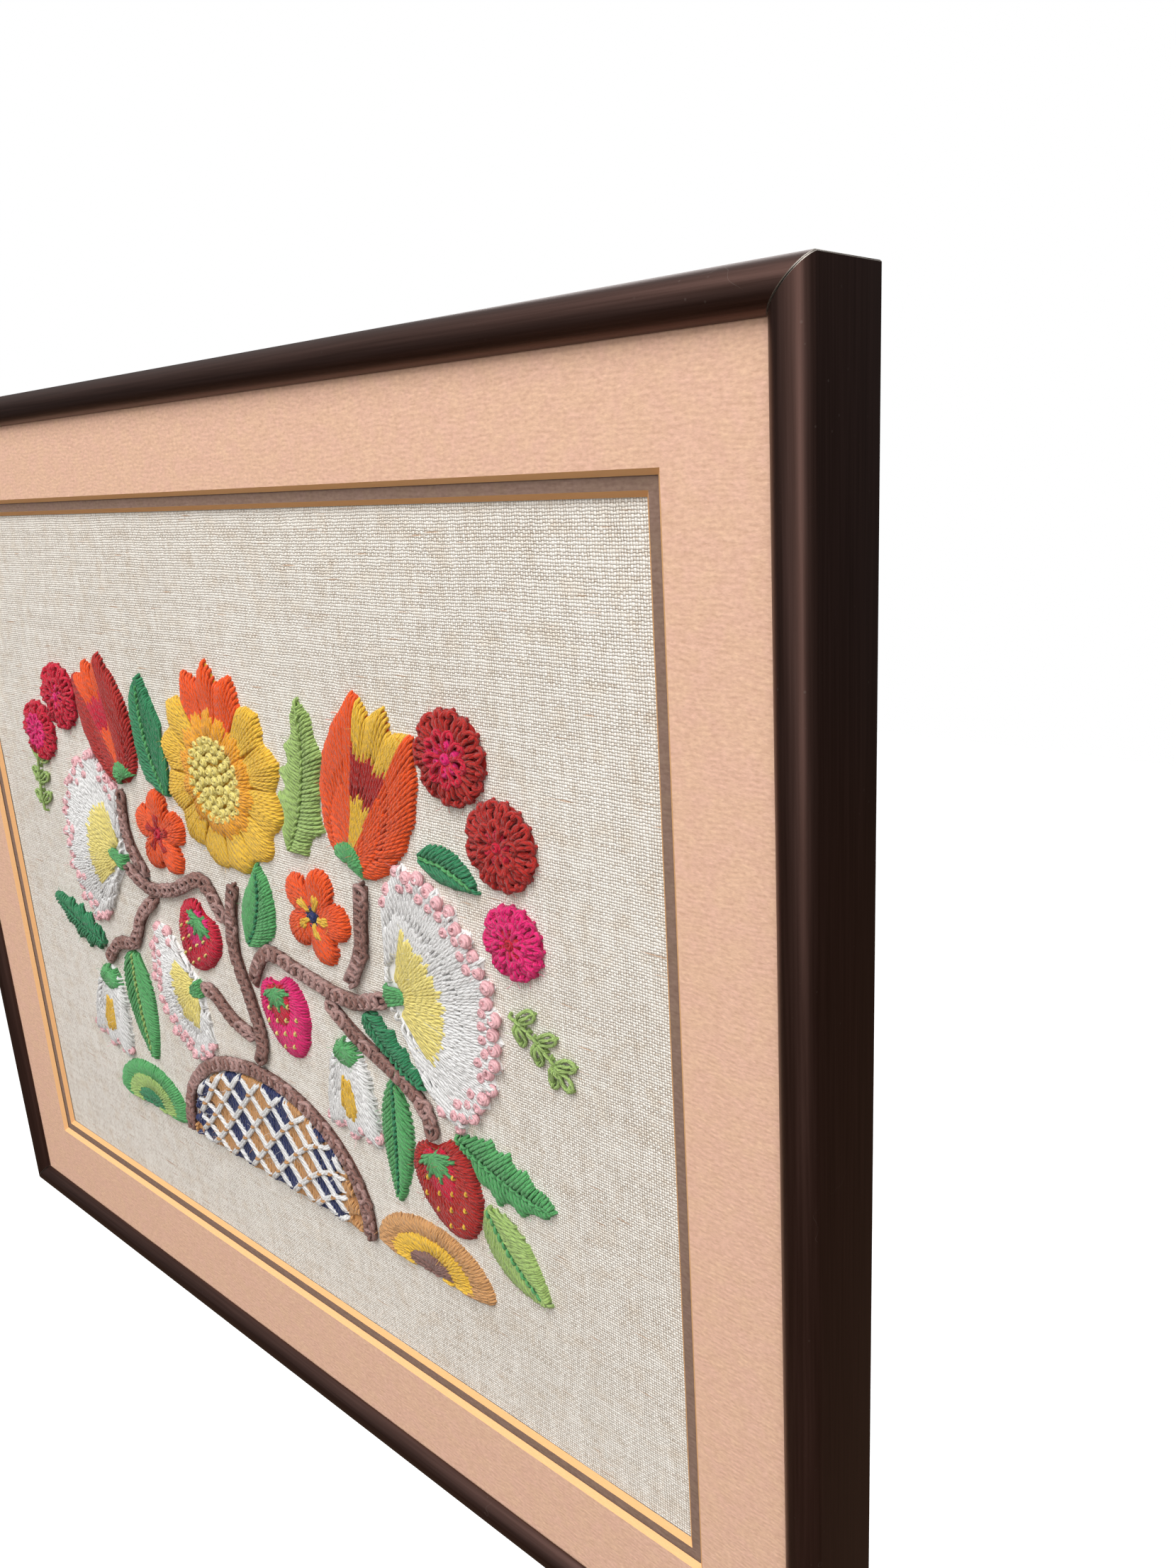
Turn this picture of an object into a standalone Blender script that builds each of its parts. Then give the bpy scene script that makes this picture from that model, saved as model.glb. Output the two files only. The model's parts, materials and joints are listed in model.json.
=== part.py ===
# A wool embroidery on linen, behind two window mats, in a narrow dark metal frame.
# The front faces -Y, the back lies in the plane Y = 0, and +Z is up. The origin is on the back face
# of the top rail, at mid length, where the panel hangs. Lengths are in millimetres up to the last
# step, where MM turns them into metres. Places in the needlework are (u, v): right and up from the
# centre of the design.

import math

import bmesh
import bpy

MM = 0.001

# Frame: a flat side with a half-round bead on its front, mitred at the corners
FRAME_WIDTH = 449.0
FRAME_HEIGHT = 370.0
SIDE_DEPTH = 24.8        # from the back to the foot of the bead
BEAD_RADIUS = 5.3
FACE_WIDTH = 10.2        # width of the bead, seen from the front
RAIL_WALL = 5.4          # solid width behind the rebate
BACK_EASE = 0.4          # small chamfer on the back edges
BEAD_STEPS = 12

# Boards and cloth, from front to back
FIT_GAP = 0.3            # clearance between neighbouring pieces
MAT_FRONT = 24.36        # front of the outer mat, above the back plane
MAT_BOARD = 1.47         # four-ply mount board, which is also the width of its bevel
LINEN_THICKNESS = 1.0
BACKING_THICKNESS = 3.0
MAT_TOP = 26.1           # borders of the outer mat, from the bead to its window
MAT_BOTTOM = 29.4
MAT_LEFT = 25.9
MAT_RIGHT = 27.3
REVEAL = 3.1             # strip of the inner mat that shows

# Needlework
DESIGN_CENTRE = (-6.5, -185.0)   # x and z of the centre of the design
STEM_WIDTH = 5.0
STEM_HEIGHT = 2.1
LEAF_HEIGHT = 1.9
TIP_WIDTH = 0.9
CLEAR = 0.6              # kept between two motifs, measured along a thread
STEM_ROOM = 1.5          # that the middle line of a stem keeps to what it meets
STATION = 7.0            # spacing of the sections along a stem
LEAF_SECTIONS = 9        # sections along a plain leaf
LOBE_SECTIONS = 4        # sections along each lobe of a lobed one
LEAF_FOOT_GAP = 0.4      # more room than CLEAR, where a leaf starts at a stem
FAN_SPREAD = 72          # half the angle of a fan, in degrees
FAN_KNOTS_PER_MM = 0.30  # knots round the rim of a fan, for each millimetre of its size
FAN_DIP = 0.93           # reach between two knots, as a share of the reach on them

# How finely lines are followed
CURVE_STEPS = 40         # between two given points of a curve
FINE_STEP = 0.5          # along a stem, while its free stretch is looked for
LEAF_STEPS = 80
PROBE_STEP = 0.4         # between two tests for a neighbour
KEEP_EVERY = 4           # of the fine points that a route is then drawn through
LEAST_REACH = 0.02       # share of a section that stays where a neighbour leaves no room

TOP = RAIL_WALL / 2
BOTTOM = TOP - FRAME_HEIGHT
LEFT = -FRAME_WIDTH / 2
RIGHT = FRAME_WIDTH / 2
LINEN_FRONT = MAT_FRONT - 2 * (MAT_BOARD + FIT_GAP)
WOOL_BACK = LINEN_FRONT + FIT_GAP

# Colours as linear values: red, green, blue
COLOURS = {
    "bronze": (0.020, 0.013, 0.010),
    "peach": (0.76, 0.49, 0.33),
    "taupe": (0.27, 0.19, 0.16),
    "linen": (0.62, 0.57, 0.48),
    "board": (0.55, 0.50, 0.42),
    "brown": (0.16, 0.08, 0.07),
    "white": (0.75, 0.76, 0.80),
    "pink": (0.83, 0.34, 0.36),
    "yellow": (0.86, 0.66, 0.14),
    "gold": (0.87, 0.46, 0.04),
    "orange": (0.88, 0.11, 0.02),
    "rust": (0.38, 0.03, 0.02),
    "crimson": (0.45, 0.01, 0.03),
    "magenta": (0.66, 0.02, 0.14),
    "deep_green": (0.03, 0.18, 0.08),
    "green": (0.09, 0.33, 0.12),
    "lime": (0.30, 0.42, 0.10),
    "tan": (0.46, 0.27, 0.12),
}

# Half outlines, mirrored about the axis: degrees from the axis, radius as a share of the size,
# and how full the petal is there (1 on its middle, 0 in the dip between two petals)
HALF_OUTLINES = {
    "tulip": [
        (0, 1.00, 1.0), (11, 0.80, 0.1), (25, 1.03, 0.9), (38, 0.86, 0.7), (62, 0.72, 0.9),
        (92, 0.65, 0.9), (126, 0.69, 0.9), (155, 0.82, 0.8), (180, 0.88, 1.0),
    ],
    "bell": [
        (0, 0.92, 1.0), (16, 0.78, 0.2), (33, 1.05, 1.0), (46, 0.82, 0.7), (70, 0.57, 0.9),
        (100, 0.48, 0.9), (140, 0.58, 1.0), (180, 0.82, 1.0),
    ],
    "strawberry": [
        (0, 1.00, 1.0), (25, 0.91, 1.0), (55, 0.80, 1.0), (90, 0.80, 1.0), (120, 0.91, 1.0),
        (147, 0.94, 0.9), (180, 0.76, 0.7),
    ],
    "pomegranate": [
        (0, 1.10, 1.0), (10, 0.90, 0.0), (21, 1.05, 1.0), (33, 0.85, 0.0), (47, 0.99, 1.0),
        (61, 0.85, 0.0), (75, 0.98, 1.0), (90, 0.84, 0.0), (105, 0.96, 1.0), (120, 0.83, 0.0),
        (135, 0.93, 1.0), (150, 0.82, 0.0), (165, 0.90, 1.0), (180, 0.84, 0.0),
    ],
}

# Flowers of equal round lobes: how many, points on each, and the reach in the dips between them
LOBED_OUTLINES = {
    "roundel": (8, 4, 0.86),
    "star": (5, 6, 0.62),
}

# The straight sides and the foot of a fan: degrees from its axis, and reach as a share of the size
FAN_SIDES = [(80, 0.66), (84, 0.34), (120, 0.12), (180, 0.10), (-120, 0.12), (-84, 0.34), (-80, 0.66)]
FAN_MIDDLE = 0.46        # place of the middle along the axis

# Rings from the rim to the middle: place on the radius, height on a petal, height in a dip
RINGS = {
    "petals": [(1.00, 0.42, 0.32), (0.84, 1.00, 0.62), (0.45, 0.86, 0.76)],
    "fruit": [(1.00, 0.42, 0.42), (0.84, 0.84, 0.80), (0.45, 1.00, 1.00)],
    "knotted": [(1.00, 0.45, 0.30), (0.91, 1.00, 0.62), (0.81, 0.55, 0.50), (0.50, 0.88, 0.84)],
    "tufted": [(1.00, 0.40, 0.30), (0.86, 0.88, 0.55), (0.60, 0.62, 0.56), (0.47, 0.92, 0.92),
               (0.24, 1.00, 1.00)],
}
RINGS_OF_KIND = {
    "tulip": "petals", "bell": "petals", "star": "petals", "roundel": "petals",
    "strawberry": "fruit", "fan": "knotted", "pomegranate": "tufted",
}

# Flowers and fruit: name, kind, u, v, size, turn of the axis in degrees, height, colour
FLOWERS = [
    ("pomegranate", "pomegranate", 0, 57, 37, 90, 2.8, "gold"),
    ("tulip_right", "tulip", 78, 62, 31, 66, 2.5, "orange"),
    ("tulip_left", "tulip", -74, 68, 27, 114, 2.4, "rust"),
    ("carnation_left", "fan", -80, 14, 45, 158, 2.6, "white"),
    ("carnation_right", "fan", 82, 0, 47, 12, 2.6, "white"),
    ("carnation_low", "fan", -36, -30, 33, 206, 2.5, "white"),
    ("rosehip_top", "roundel", 117, 79, 14.0, 0, 2.5, "crimson"),
    ("rosehip_mid", "roundel", 134, 57, 13.0, 20, 2.5, "rust"),
    ("rosehip_low", "roundel", 136, 30, 11.0, 10, 2.4, "magenta"),
    ("rosehip_left", "roundel", -109, 76, 13.5, 0, 2.5, "crimson"),
    ("rosehip_far", "roundel", -132, 60, 12.5, 0, 2.4, "magenta"),
    ("star_left", "star", -46, 30, 17, 90, 2.3, "orange"),
    ("star_right", "star", 46, 18, 17, 70, 2.3, "orange"),
    ("bell_left", "bell", -110, -56, 24, 256, 2.4, "white"),
    ("bell_right", "bell", 54, -40, 22, 268, 2.4, "white"),
    ("strawberry_left", "strawberry", -30, -7, 15.5, 238, 2.6, "crimson"),
    ("strawberry_mid", "strawberry", 21, -24, 16, 285, 2.6, "magenta"),
    ("strawberry_right", "strawberry", 99, -60, 18, 290, 2.6, "rust"),
]

# Stems: name, then the (u, v) points that the route goes through
STEMS = [
    ("stem_trunk", [(-2, -52), (4, -40), (0, -24), (-6, -8), (-5, 6), (-1, 19)]),
    ("stem_right", [(0, -22), (14, -3), (34, -5), (58, -8), (74, -4), (82, 0)]),
    ("stem_right_top", [(60, -2), (68, 10), (70, 22), (72, 34)]),
    ("stem_right_low", [(38, -6), (60, -20), (80, -28), (92, -36), (94, -46)]),
    ("stem_left", [(-6, -6), (-20, 16), (-42, 9), (-62, 6), (-80, 14)]),
    ("stem_left_top", [(-60, 8), (-72, 24), (-72, 42)]),
    ("stem_left_low", [(2, -40), (-14, -36), (-26, -28), (-36, -30)]),
    ("stem_bell", [(-58, 2), (-71, -8), (-80, -21), (-94, -25), (-105, -34)]),
]

# Leaves: name, u and v of the foot, length, width, turn at the foot, bend, lobes, lobe depth, colour
LEAVES = [
    ("leaf_crown_left", -36, 46, 46, 24, 128, -54, 0, 0.0, "deep_green"),
    ("leaf_crown_right", 36, 38, 54, 26, 52, 46, 5, 0.35, "lime"),
    ("leaf_left_low", -107, -28, 42, 19, 172, -24, 5, 0.35, "deep_green"),
    ("leaf_bell", -84, -24, 50, 22, 262, 26, 0, 0.0, "green"),
    ("leaf_mid_right", 4, -2, 34, 18, 48, 44, 0, 0.0, "green"),
    ("leaf_right_mid", 66, -9, 34, 17, -62, 50, 4, 0.35, "deep_green"),
    ("leaf_right_foot", 77, -30, 46, 15, 266, 0, 0, 0.0, "green"),
    ("leaf_right_far", 104, -40, 42, 22, -30, 30, 5, 0.35, "green"),
    ("leaf_right_end", 116, -60, 34, 18, -66, 40, 0, 0.0, "lime"),
    ("leaf_top_right", 100, 48, 24, 11, 0, -30, 0, 0.0, "deep_green"),
    ("sprig_left", -140, 24, 28, 16, 96, -30, 3, 0.72, "lime"),
    ("sprig_right", 132, 8, 24, 15, -20, -30, 3, 0.72, "lime"),
]

# Hillocks under the tree
TRELLIS_LEFT = -54.0
TRELLIS_RIGHT = 52.0
TRELLIS_FOOT = -97.0
TRELLIS_SIDE = 4.0       # upright part of each side
TRELLIS_RISE = 36.0
TRELLIS_COLUMNS = 16
TRELLIS_ROWS = 6
TRELLIS_THREAD = 2.3     # height of the couched threads
TRELLIS_CELL = 1.4       # height of the satin blocks between them
TRELLIS_EDGE_GAP = 0.3   # more room than CLEAR, between the mound and the cord round it
TRELLIS_EDGE_STEPS = 24
TRELLIS_BACK_POINT = 6.0  # height of the point where the faces of the flat back meet
MOUNDS = [               # name, u of the middle, v of the foot, half width, rise, colour
    ("hillock_left", -88, -98, 27, 18, "green"),
    ("hillock_right", 87, -98, 28, 17, "tan"),
]
MOUND_SIDE = 2.0         # upright part of each side
MOUND_ARC_STEPS = 16
MOUND_FOOT_STEPS = 8
MOUND_MIDDLE = 0.42      # height of the middle, as a share of the rise
MOUND_RINGS = [(1.0, 0.8), (0.84, 1.9), (0.62, 1.5), (0.42, 2.0)]   # place on the radius, height
MOUND_TOP = 1.9          # height at the middle

placed = []              # outlines that are already taken, which later motifs keep clear of


# Meshes and objects

def add_object(name, points, faces, colour, roughness=0.85, metallic=0.0):
    mesh = bpy.data.meshes.new(name)
    mesh.from_pydata([(x * MM, y * MM, z * MM) for x, y, z in points], [], faces)
    work = bmesh.new()
    work.from_mesh(mesh)
    bmesh.ops.triangulate(work, faces=work.faces[:])
    bmesh.ops.recalc_face_normals(work, faces=work.faces[:])
    work.to_mesh(mesh)
    work.free()
    piece = bpy.data.objects.new(name, mesh)
    bpy.context.collection.objects.link(piece)
    material = bpy.data.materials.new(name)
    material.use_nodes = True
    shader = material.node_tree.nodes["Principled BSDF"]
    shader.inputs["Base Color"].default_value = (*COLOURS[colour], 1.0)
    shader.inputs["Roughness"].default_value = roughness
    shader.inputs["Metallic"].default_value = metallic
    mesh.materials.append(material)
    return piece


def loop_faces(first, second, count):
    # quads between two closed rings of points
    return [(first + i, first + (i + 1) % count, second + (i + 1) % count, second + i)
            for i in range(count)]


def wool_point(point, height):
    # a point of the design, raised from the back of the wool
    return (DESIGN_CENTRE[0] + point[0], -(WOOL_BACK + height), DESIGN_CENTRE[1] + point[1])


# Plane geometry

def along(turn, length):
    angle = math.radians(turn)
    return (length * math.cos(angle), length * math.sin(angle))


def add(a, b):
    return (a[0] + b[0], a[1] + b[1])


def mix(a, b, share):
    return tuple(p + (q - p) * share for p, q in zip(a, b))


def inside(point, outline):
    hit = False
    for (x0, y0), (x1, y1) in zip(outline, outline[1:] + outline[:1]):
        if (y0 > point[1]) != (y1 > point[1]):
            if point[0] < x0 + (point[1] - y0) * (x1 - x0) / (y1 - y0):
                hit = not hit
    return hit


def distance(point, outline):
    best = math.inf
    for a, b in zip(outline, outline[1:] + outline[:1]):
        run = (b[0] - a[0], b[1] - a[1])
        size = run[0] ** 2 + run[1] ** 2
        share = 0.0
        if size > 0:
            share = ((point[0] - a[0]) * run[0] + (point[1] - a[1]) * run[1]) / size
        nearest = mix(a, b, min(1.0, max(0.0, share)))
        best = min(best, math.dist(point, nearest))
    return best


def take_place(outline):
    # later motifs keep clear of this outline; its box makes the test quick
    across, up = zip(*outline)
    placed.append((outline, (min(across), max(across), min(up), max(up))))


def is_free(point, room):
    # whether a point keeps this much room to every outline that is already placed
    for outline, (left, right, low, high) in placed:
        near_across = left - room < point[0] < right + room
        near_up = low - room < point[1] < high + room
        if near_across and near_up:
            if inside(point, outline) or distance(point, outline) < room:
                return False
    return True


def clear_reach(start, end):
    # how far a line from start to end may run before it comes near a placed outline, as a share
    length = math.dist(start, end)
    steps = max(2, int(length / PROBE_STEP))
    for step in range(1, steps + 1):
        if not is_free(mix(start, end, step / steps), CLEAR):
            return max(LEAST_REACH, (step - 1) / steps)
    return 1.0


def smooth_route(points, spacing):
    # a smooth curve through the points, read at an even spacing
    ends = [points[0]] + points + [points[-1]]
    fine = []
    for i in range(1, len(ends) - 2):
        p, q, r, s = ends[i - 1:i + 3]
        for k in range(CURVE_STEPS):
            t = k / CURVE_STEPS
            fine.append(tuple(
                0.5 * (2 * b + (c - a) * t + (2 * a - 5 * b + 4 * c - d) * t ** 2
                       + (3 * b - a - 3 * c + d) * t ** 3)
                for a, b, c, d in zip(p, q, r, s)))
    fine.append(points[-1])
    lengths = [0.0]
    for a, b in zip(fine, fine[1:]):
        lengths.append(lengths[-1] + math.dist(a, b))
    count = max(2, round(lengths[-1] / spacing))
    route = []
    index = 0
    for k in range(count + 1):
        want = lengths[-1] * k / count
        while index < len(fine) - 2 and lengths[index + 1] < want:
            index += 1
        step = lengths[index + 1] - lengths[index]
        route.append(mix(fine[index], fine[index + 1], (want - lengths[index]) / step))
    return route


# Frame

def rail_profile():
    # distance in from the outer side, and height above the back plane
    rise = math.sqrt(BEAD_RADIUS ** 2 - (FACE_WIDTH / 2) ** 2)
    half_angle = math.asin(FACE_WIDTH / 2 / BEAD_RADIUS)
    centre = SIDE_DEPTH - rise
    profile = [(BACK_EASE, 0.0), (0.0, BACK_EASE)]
    for step in range(BEAD_STEPS + 1):
        angle = half_angle * (2 * step / BEAD_STEPS - 1)
        profile.append((FACE_WIDTH / 2 + BEAD_RADIUS * math.sin(angle),
                        centre + BEAD_RADIUS * math.cos(angle)))
    lip_back = MAT_FRONT + FIT_GAP
    profile += [(FACE_WIDTH, lip_back), (RAIL_WALL, lip_back), (RAIL_WALL, BACK_EASE),
                (RAIL_WALL - BACK_EASE, 0.0)]
    return profile


def make_rail(name, start, end, inward):
    length = math.dist(start, end)
    run = ((end[0] - start[0]) / length, (end[1] - start[1]) / length)
    setback = FIT_GAP / math.sqrt(2)
    profile = rail_profile()
    points = []
    for corner, sign in ((start, 1), (end, -1)):
        for inset, height in profile:
            slide = sign * (inset + setback)
            points.append((corner[0] + run[0] * slide + inward[0] * inset, -height,
                           corner[1] + run[1] * slide + inward[1] * inset))
    count = len(profile)
    faces = loop_faces(0, count, count)
    faces += [tuple(range(count)), tuple(range(2 * count - 1, count - 1, -1))]
    add_object(name, points, faces, "bronze", roughness=0.38, metallic=0.85)


def make_frame():
    make_rail("frame_top", (LEFT, TOP), (RIGHT, TOP), (0, -1))
    make_rail("frame_bottom", (LEFT, BOTTOM), (RIGHT, BOTTOM), (0, 1))
    make_rail("frame_left", (LEFT, BOTTOM), (LEFT, TOP), (1, 0))
    make_rail("frame_right", (RIGHT, BOTTOM), (RIGHT, TOP), (-1, 0))


# Mats, linen and backing

def rectangle(left, right, bottom, top):
    return [(left, bottom), (right, bottom), (right, top), (left, top)]


def board_outline():
    inset = RAIL_WALL + FIT_GAP
    return rectangle(LEFT + inset, RIGHT - inset, BOTTOM + inset, TOP - inset)


def shrink(corners, inset):
    (left, bottom), (right, top) = corners[0], corners[2]
    return rectangle(left + inset, right - inset, bottom + inset, top - inset)


def outer_window():
    return rectangle(LEFT + FACE_WIDTH + MAT_LEFT, RIGHT - FACE_WIDTH - MAT_RIGHT,
                     BOTTOM + FACE_WIDTH + MAT_BOTTOM, TOP - FACE_WIDTH - MAT_TOP)


def make_mat(name, window, front, colour):
    back = front - MAT_BOARD
    foot = shrink(window, MAT_BOARD)
    rings = [(board_outline(), back), (board_outline(), front), (window, front), (foot, back)]
    points = [(x, -height, z) for ring, height in rings for x, z in ring]
    faces = []
    for ring in range(4):
        faces += loop_faces(4 * ring, 4 * ((ring + 1) % 4), 4)
    add_object(name, points, faces, colour)


def make_sheet(name, front, thickness, colour):
    corners = board_outline()
    points = [(x, -height, z) for height in (front - thickness, front) for x, z in corners]
    faces = loop_faces(0, 4, 4) + [(3, 2, 1, 0), (4, 5, 6, 7)]
    add_object(name, points, faces, colour)


def make_boards():
    window = outer_window()
    make_mat("mat_outer", window, MAT_FRONT, "peach")
    make_mat("mat_inner", shrink(window, MAT_BOARD + REVEAL), MAT_FRONT - MAT_BOARD - FIT_GAP,
             "taupe")
    make_sheet("linen_ground", LINEN_FRONT, LINEN_THICKNESS, "linen")
    make_sheet("backing_board", LINEN_FRONT - LINEN_THICKNESS - FIT_GAP, BACKING_THICKNESS, "board")


# Flowers and fruit: rings of one outline, drawn in towards the middle

def mirrored_outline(kind):
    half = HALF_OUTLINES[kind]
    rows = []
    for row, following in zip(half, half[1:]):
        rows.append(row)
        middle = mix(row, following, 0.5)
        rows.append((middle[0], middle[1] * 1.01, middle[2]))
    rows.append(half[-1])
    return rows + [(-a, r, full) for a, r, full in reversed(rows[1:-1])]


def lobed_outline(lobes, steps, valley):
    rows = []
    for k in range(lobes * steps):
        full = abs(math.cos(math.pi * k / steps)) ** 0.7
        rows.append((360.0 * k / (lobes * steps), valley + (1 - valley) * full, full))
    return rows


def fan_outline(size):
    # a fan seen from its foot: knots round the rim, then straight sides
    steps = 4 * max(7, round(size * FAN_KNOTS_PER_MM))
    rows = []
    for k in range(steps + 1):
        angle = FAN_SPREAD * (2 * k / steps - 1)
        full = math.sin(math.pi * k / 4) ** 2
        rows.append((along(angle, size * (FAN_DIP + (1 - FAN_DIP) * full)), full))
    side_full = 0.8
    for angle, radius in FAN_SIDES:
        rows.append((along(angle, size * radius), side_full))
    return rows


def flower_outline(kind, size):
    # points round the middle of the flower, its axis along +u, and the middle itself
    if kind == "fan":
        return fan_outline(size), (FAN_MIDDLE * size, 0.0)
    if kind in LOBED_OUTLINES:
        rows = lobed_outline(*LOBED_OUTLINES[kind])
    else:
        rows = mirrored_outline(kind)
    return [(along(angle, size * radius), full) for angle, radius, full in rows], (0.0, 0.0)


def turned(point, turn):
    reach = math.hypot(*point)
    return along(math.degrees(math.atan2(point[1], point[0])) + turn, reach)


def make_flower(name, kind, u, v, size, turn, height, colour):
    rows, middle = flower_outline(kind, size)
    centre = add((u, v), turned(middle, turn))
    rim = []
    for point, full in rows:
        end = add((u, v), turned(point, turn))
        rim.append((mix(centre, end, clear_reach(centre, end)), full))
    count = len(rim)
    points = [wool_point(point, 0.0) for point, full in rim]
    faces = []
    rings = RINGS[RINGS_OF_KIND[kind]]
    for number, (share, crest, dip) in enumerate(rings):
        for point, full in rim:
            points.append(wool_point(mix(centre, point, share), height * (dip + (crest - dip) * full)))
        faces += loop_faces(number * count, (number + 1) * count, count)
    top = len(points)
    points += [wool_point(centre, height * rings[-1][1]), wool_point(centre, 0.0)]
    last = len(rings) * count
    for i in range(count):
        faces.append((last + i, last + (i + 1) % count, top))
        faces.append(((i + 1) % count, i, top + 1))
    add_object(name, points, faces, colour)
    take_place([point for point, full in rim])


# Stems and leaves: sections across a line

def free_run(route, room):
    # the longest stretch of the route that is clear of what is placed
    best, run = [], []
    for point in route:
        if is_free(point, room):
            run.append(point)
        else:
            run = []
        if len(run) > len(best):
            best = list(run)
    return best


def headings(route):
    turns = []
    for i in range(len(route)):
        a, b = route[max(0, i - 1)], route[min(len(route) - 1, i + 1)]
        turns.append(math.degrees(math.atan2(b[1] - a[1], b[0] - a[0])))
    return turns


def side_reach(route, turns, half_widths, i, side):
    # the share of the half width that is free on one side, here and half way to the neighbours
    share = 1.0
    for j in (max(0, i - 1), min(len(route) - 1, i + 1)):
        for part in (0.0, 0.25, 0.5):
            start = mix(route[i], route[j], part)
            half = half_widths[i] + (half_widths[j] - half_widths[i]) * part
            turn = turns[i] + ((turns[j] - turns[i] + 180) % 360 - 180) * part
            share = min(share, clear_reach(start, add(start, along(turn + side, half))))
    return share


def make_strip(name, route, half_widths, section, height, colour):
    # section: place across from -1 to 1 and height, from the left edge to the right one
    lefts, rights, points = [], [], []
    across = len(section)
    turns = headings(route)
    for i, (point, turn, half) in enumerate(zip(route, turns, half_widths)):
        edges = []
        for side in (90, -90):
            share = side_reach(route, turns, half_widths, i, side)
            edges.append(add(point, along(turn + side, half * share)))
        lefts.append(edges[0])
        rights.append(edges[1])
        points += [wool_point(edges[0], 0.0), wool_point(edges[1], 0.0)]
        for place, lift in section:
            edge = edges[0] if place < 0 else edges[1]
            points.append(wool_point(mix(point, edge, abs(place)), lift * height))
    size = across + 2
    ring = [0] + list(range(2, size)) + [1]
    faces = []
    for i in range(len(route) - 1):
        a, b = i * size, (i + 1) * size
        for p, q in zip(ring, ring[1:] + ring[:1]):
            faces.append((a + p, a + q, b + q, b + p))
    end = (len(route) - 1) * size
    faces += [tuple(ring), tuple(end + p for p in reversed(ring))]
    add_object(name, points, faces, colour)
    take_place(lefts + rights[::-1])


STEM_SECTION = [(-1.0, 0.45), (-0.6, 0.88), (0.0, 1.0), (0.6, 0.88), (1.0, 0.45)]
LEAF_SECTION = [(-1.0, 0.40), (-0.55, 1.0), (0.0, 0.62), (0.55, 1.0), (1.0, 0.40)]


def make_stem(name, points, colour="brown"):
    run = free_run(smooth_route(points, FINE_STEP), STEM_ROOM)
    route = smooth_route(run[::KEEP_EVERY] + [run[-1]], STATION)
    make_strip(name, route, [STEM_WIDTH / 2] * len(route), STEM_SECTION, STEM_HEIGHT, colour)


def leaf_route(u, v, length, turn, bend, count):
    route = [(u, v)]
    for i in range(count):
        heading = turn + bend * (i + 0.5) / count
        route.append(add(route[-1], along(heading, length / count)))
    return route


def leaf_half_width(share, width, lobes, depth):
    half = width / 2 * math.sin(math.pi * share ** 0.8) ** 0.75
    if lobes:
        half *= 1 - depth * abs(math.cos(math.pi * lobes * share))
    return max(TIP_WIDTH / 2, half)


def make_leaf(name, u, v, length, width, turn, bend, lobes, depth, colour):
    run = free_run(leaf_route(u, v, length, turn, bend, LEAF_STEPS), CLEAR + LEAF_FOOT_GAP)
    count = LOBE_SECTIONS * lobes if lobes else LEAF_SECTIONS
    route = smooth_route(run[::KEEP_EVERY] + [run[-1]], length / count)
    start = 1 - len(run) / (LEAF_STEPS + 1)      # the foot is trimmed where it meets a stem
    halves = []
    for i in range(len(route)):
        share = start + (1 - start) * i / (len(route) - 1)
        halves.append(leaf_half_width(min(1.0, share), width, lobes, depth))
    make_strip(name, route, halves, LEAF_SECTION, LEAF_HEIGHT, colour)


# Hillocks

def trellis_top(u):
    middle = (TRELLIS_LEFT + TRELLIS_RIGHT) / 2
    share = (u - middle) / ((TRELLIS_RIGHT - TRELLIS_LEFT) / 2)
    return TRELLIS_FOOT + TRELLIS_SIDE + TRELLIS_RISE * math.sqrt(max(0.0, 1 - share ** 2))


def make_trellis():
    # a grid whose even points are the crossings of the couched threads
    columns, rows = TRELLIS_COLUMNS + 1, TRELLIS_ROWS + 1
    tops, backs = [], []
    for i in range(columns):
        u = TRELLIS_LEFT + (TRELLIS_RIGHT - TRELLIS_LEFT) * i / TRELLIS_COLUMNS
        for k in range(rows):
            v = TRELLIS_FOOT + (trellis_top(u) - TRELLIS_FOOT) * k / TRELLIS_ROWS
            height = TRELLIS_CELL if (i + k) % 2 else TRELLIS_THREAD
            tops.append(wool_point((u, v), height))
            backs.append(wool_point((u, v), 0.0))
    shift = columns * rows
    faces = []
    for i in range(TRELLIS_COLUMNS):
        for k in range(TRELLIS_ROWS):
            a, b = i * rows + k, (i + 1) * rows + k
            c, d = b + 1, a + 1
            if (i + k) % 2:
                faces += [(a, b, d), (b, c, d)]
            else:
                faces += [(a, b, c), (a, c, d)]
    rim = [i * rows for i in range(columns)]
    rim += [TRELLIS_COLUMNS * rows + k for k in range(1, rows)]
    rim += [i * rows + TRELLIS_ROWS for i in range(TRELLIS_COLUMNS - 1, -1, -1)]
    rim += [k for k in range(TRELLIS_ROWS - 1, 0, -1)]
    for a, b in zip(rim, rim[1:] + rim[:1]):
        faces.append((b, a, a + shift, b + shift))
    back_rim = [p + shift for p in rim]
    used = sorted(set(rim))
    middle = len(tops) + len(backs)
    back_point = ((TRELLIS_LEFT + TRELLIS_RIGHT) / 2, TRELLIS_FOOT + TRELLIS_BACK_POINT)
    points = tops + backs + [wool_point(back_point, 0.0)]
    for a, b in zip(back_rim, back_rim[1:] + back_rim[:1]):
        faces.append((a, b, middle))
    keep = list(range(shift)) + [shift + p for p in used] + [middle]
    renumber = {old: new for new, old in enumerate(keep)}
    add_object("hillock_trellis", [points[p] for p in keep],
               [tuple(renumber[p] for p in face) for face in faces], "tan")
    take_place([(points[p][0] - DESIGN_CENTRE[0], points[p][2] - DESIGN_CENTRE[1]) for p in rim])


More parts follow.
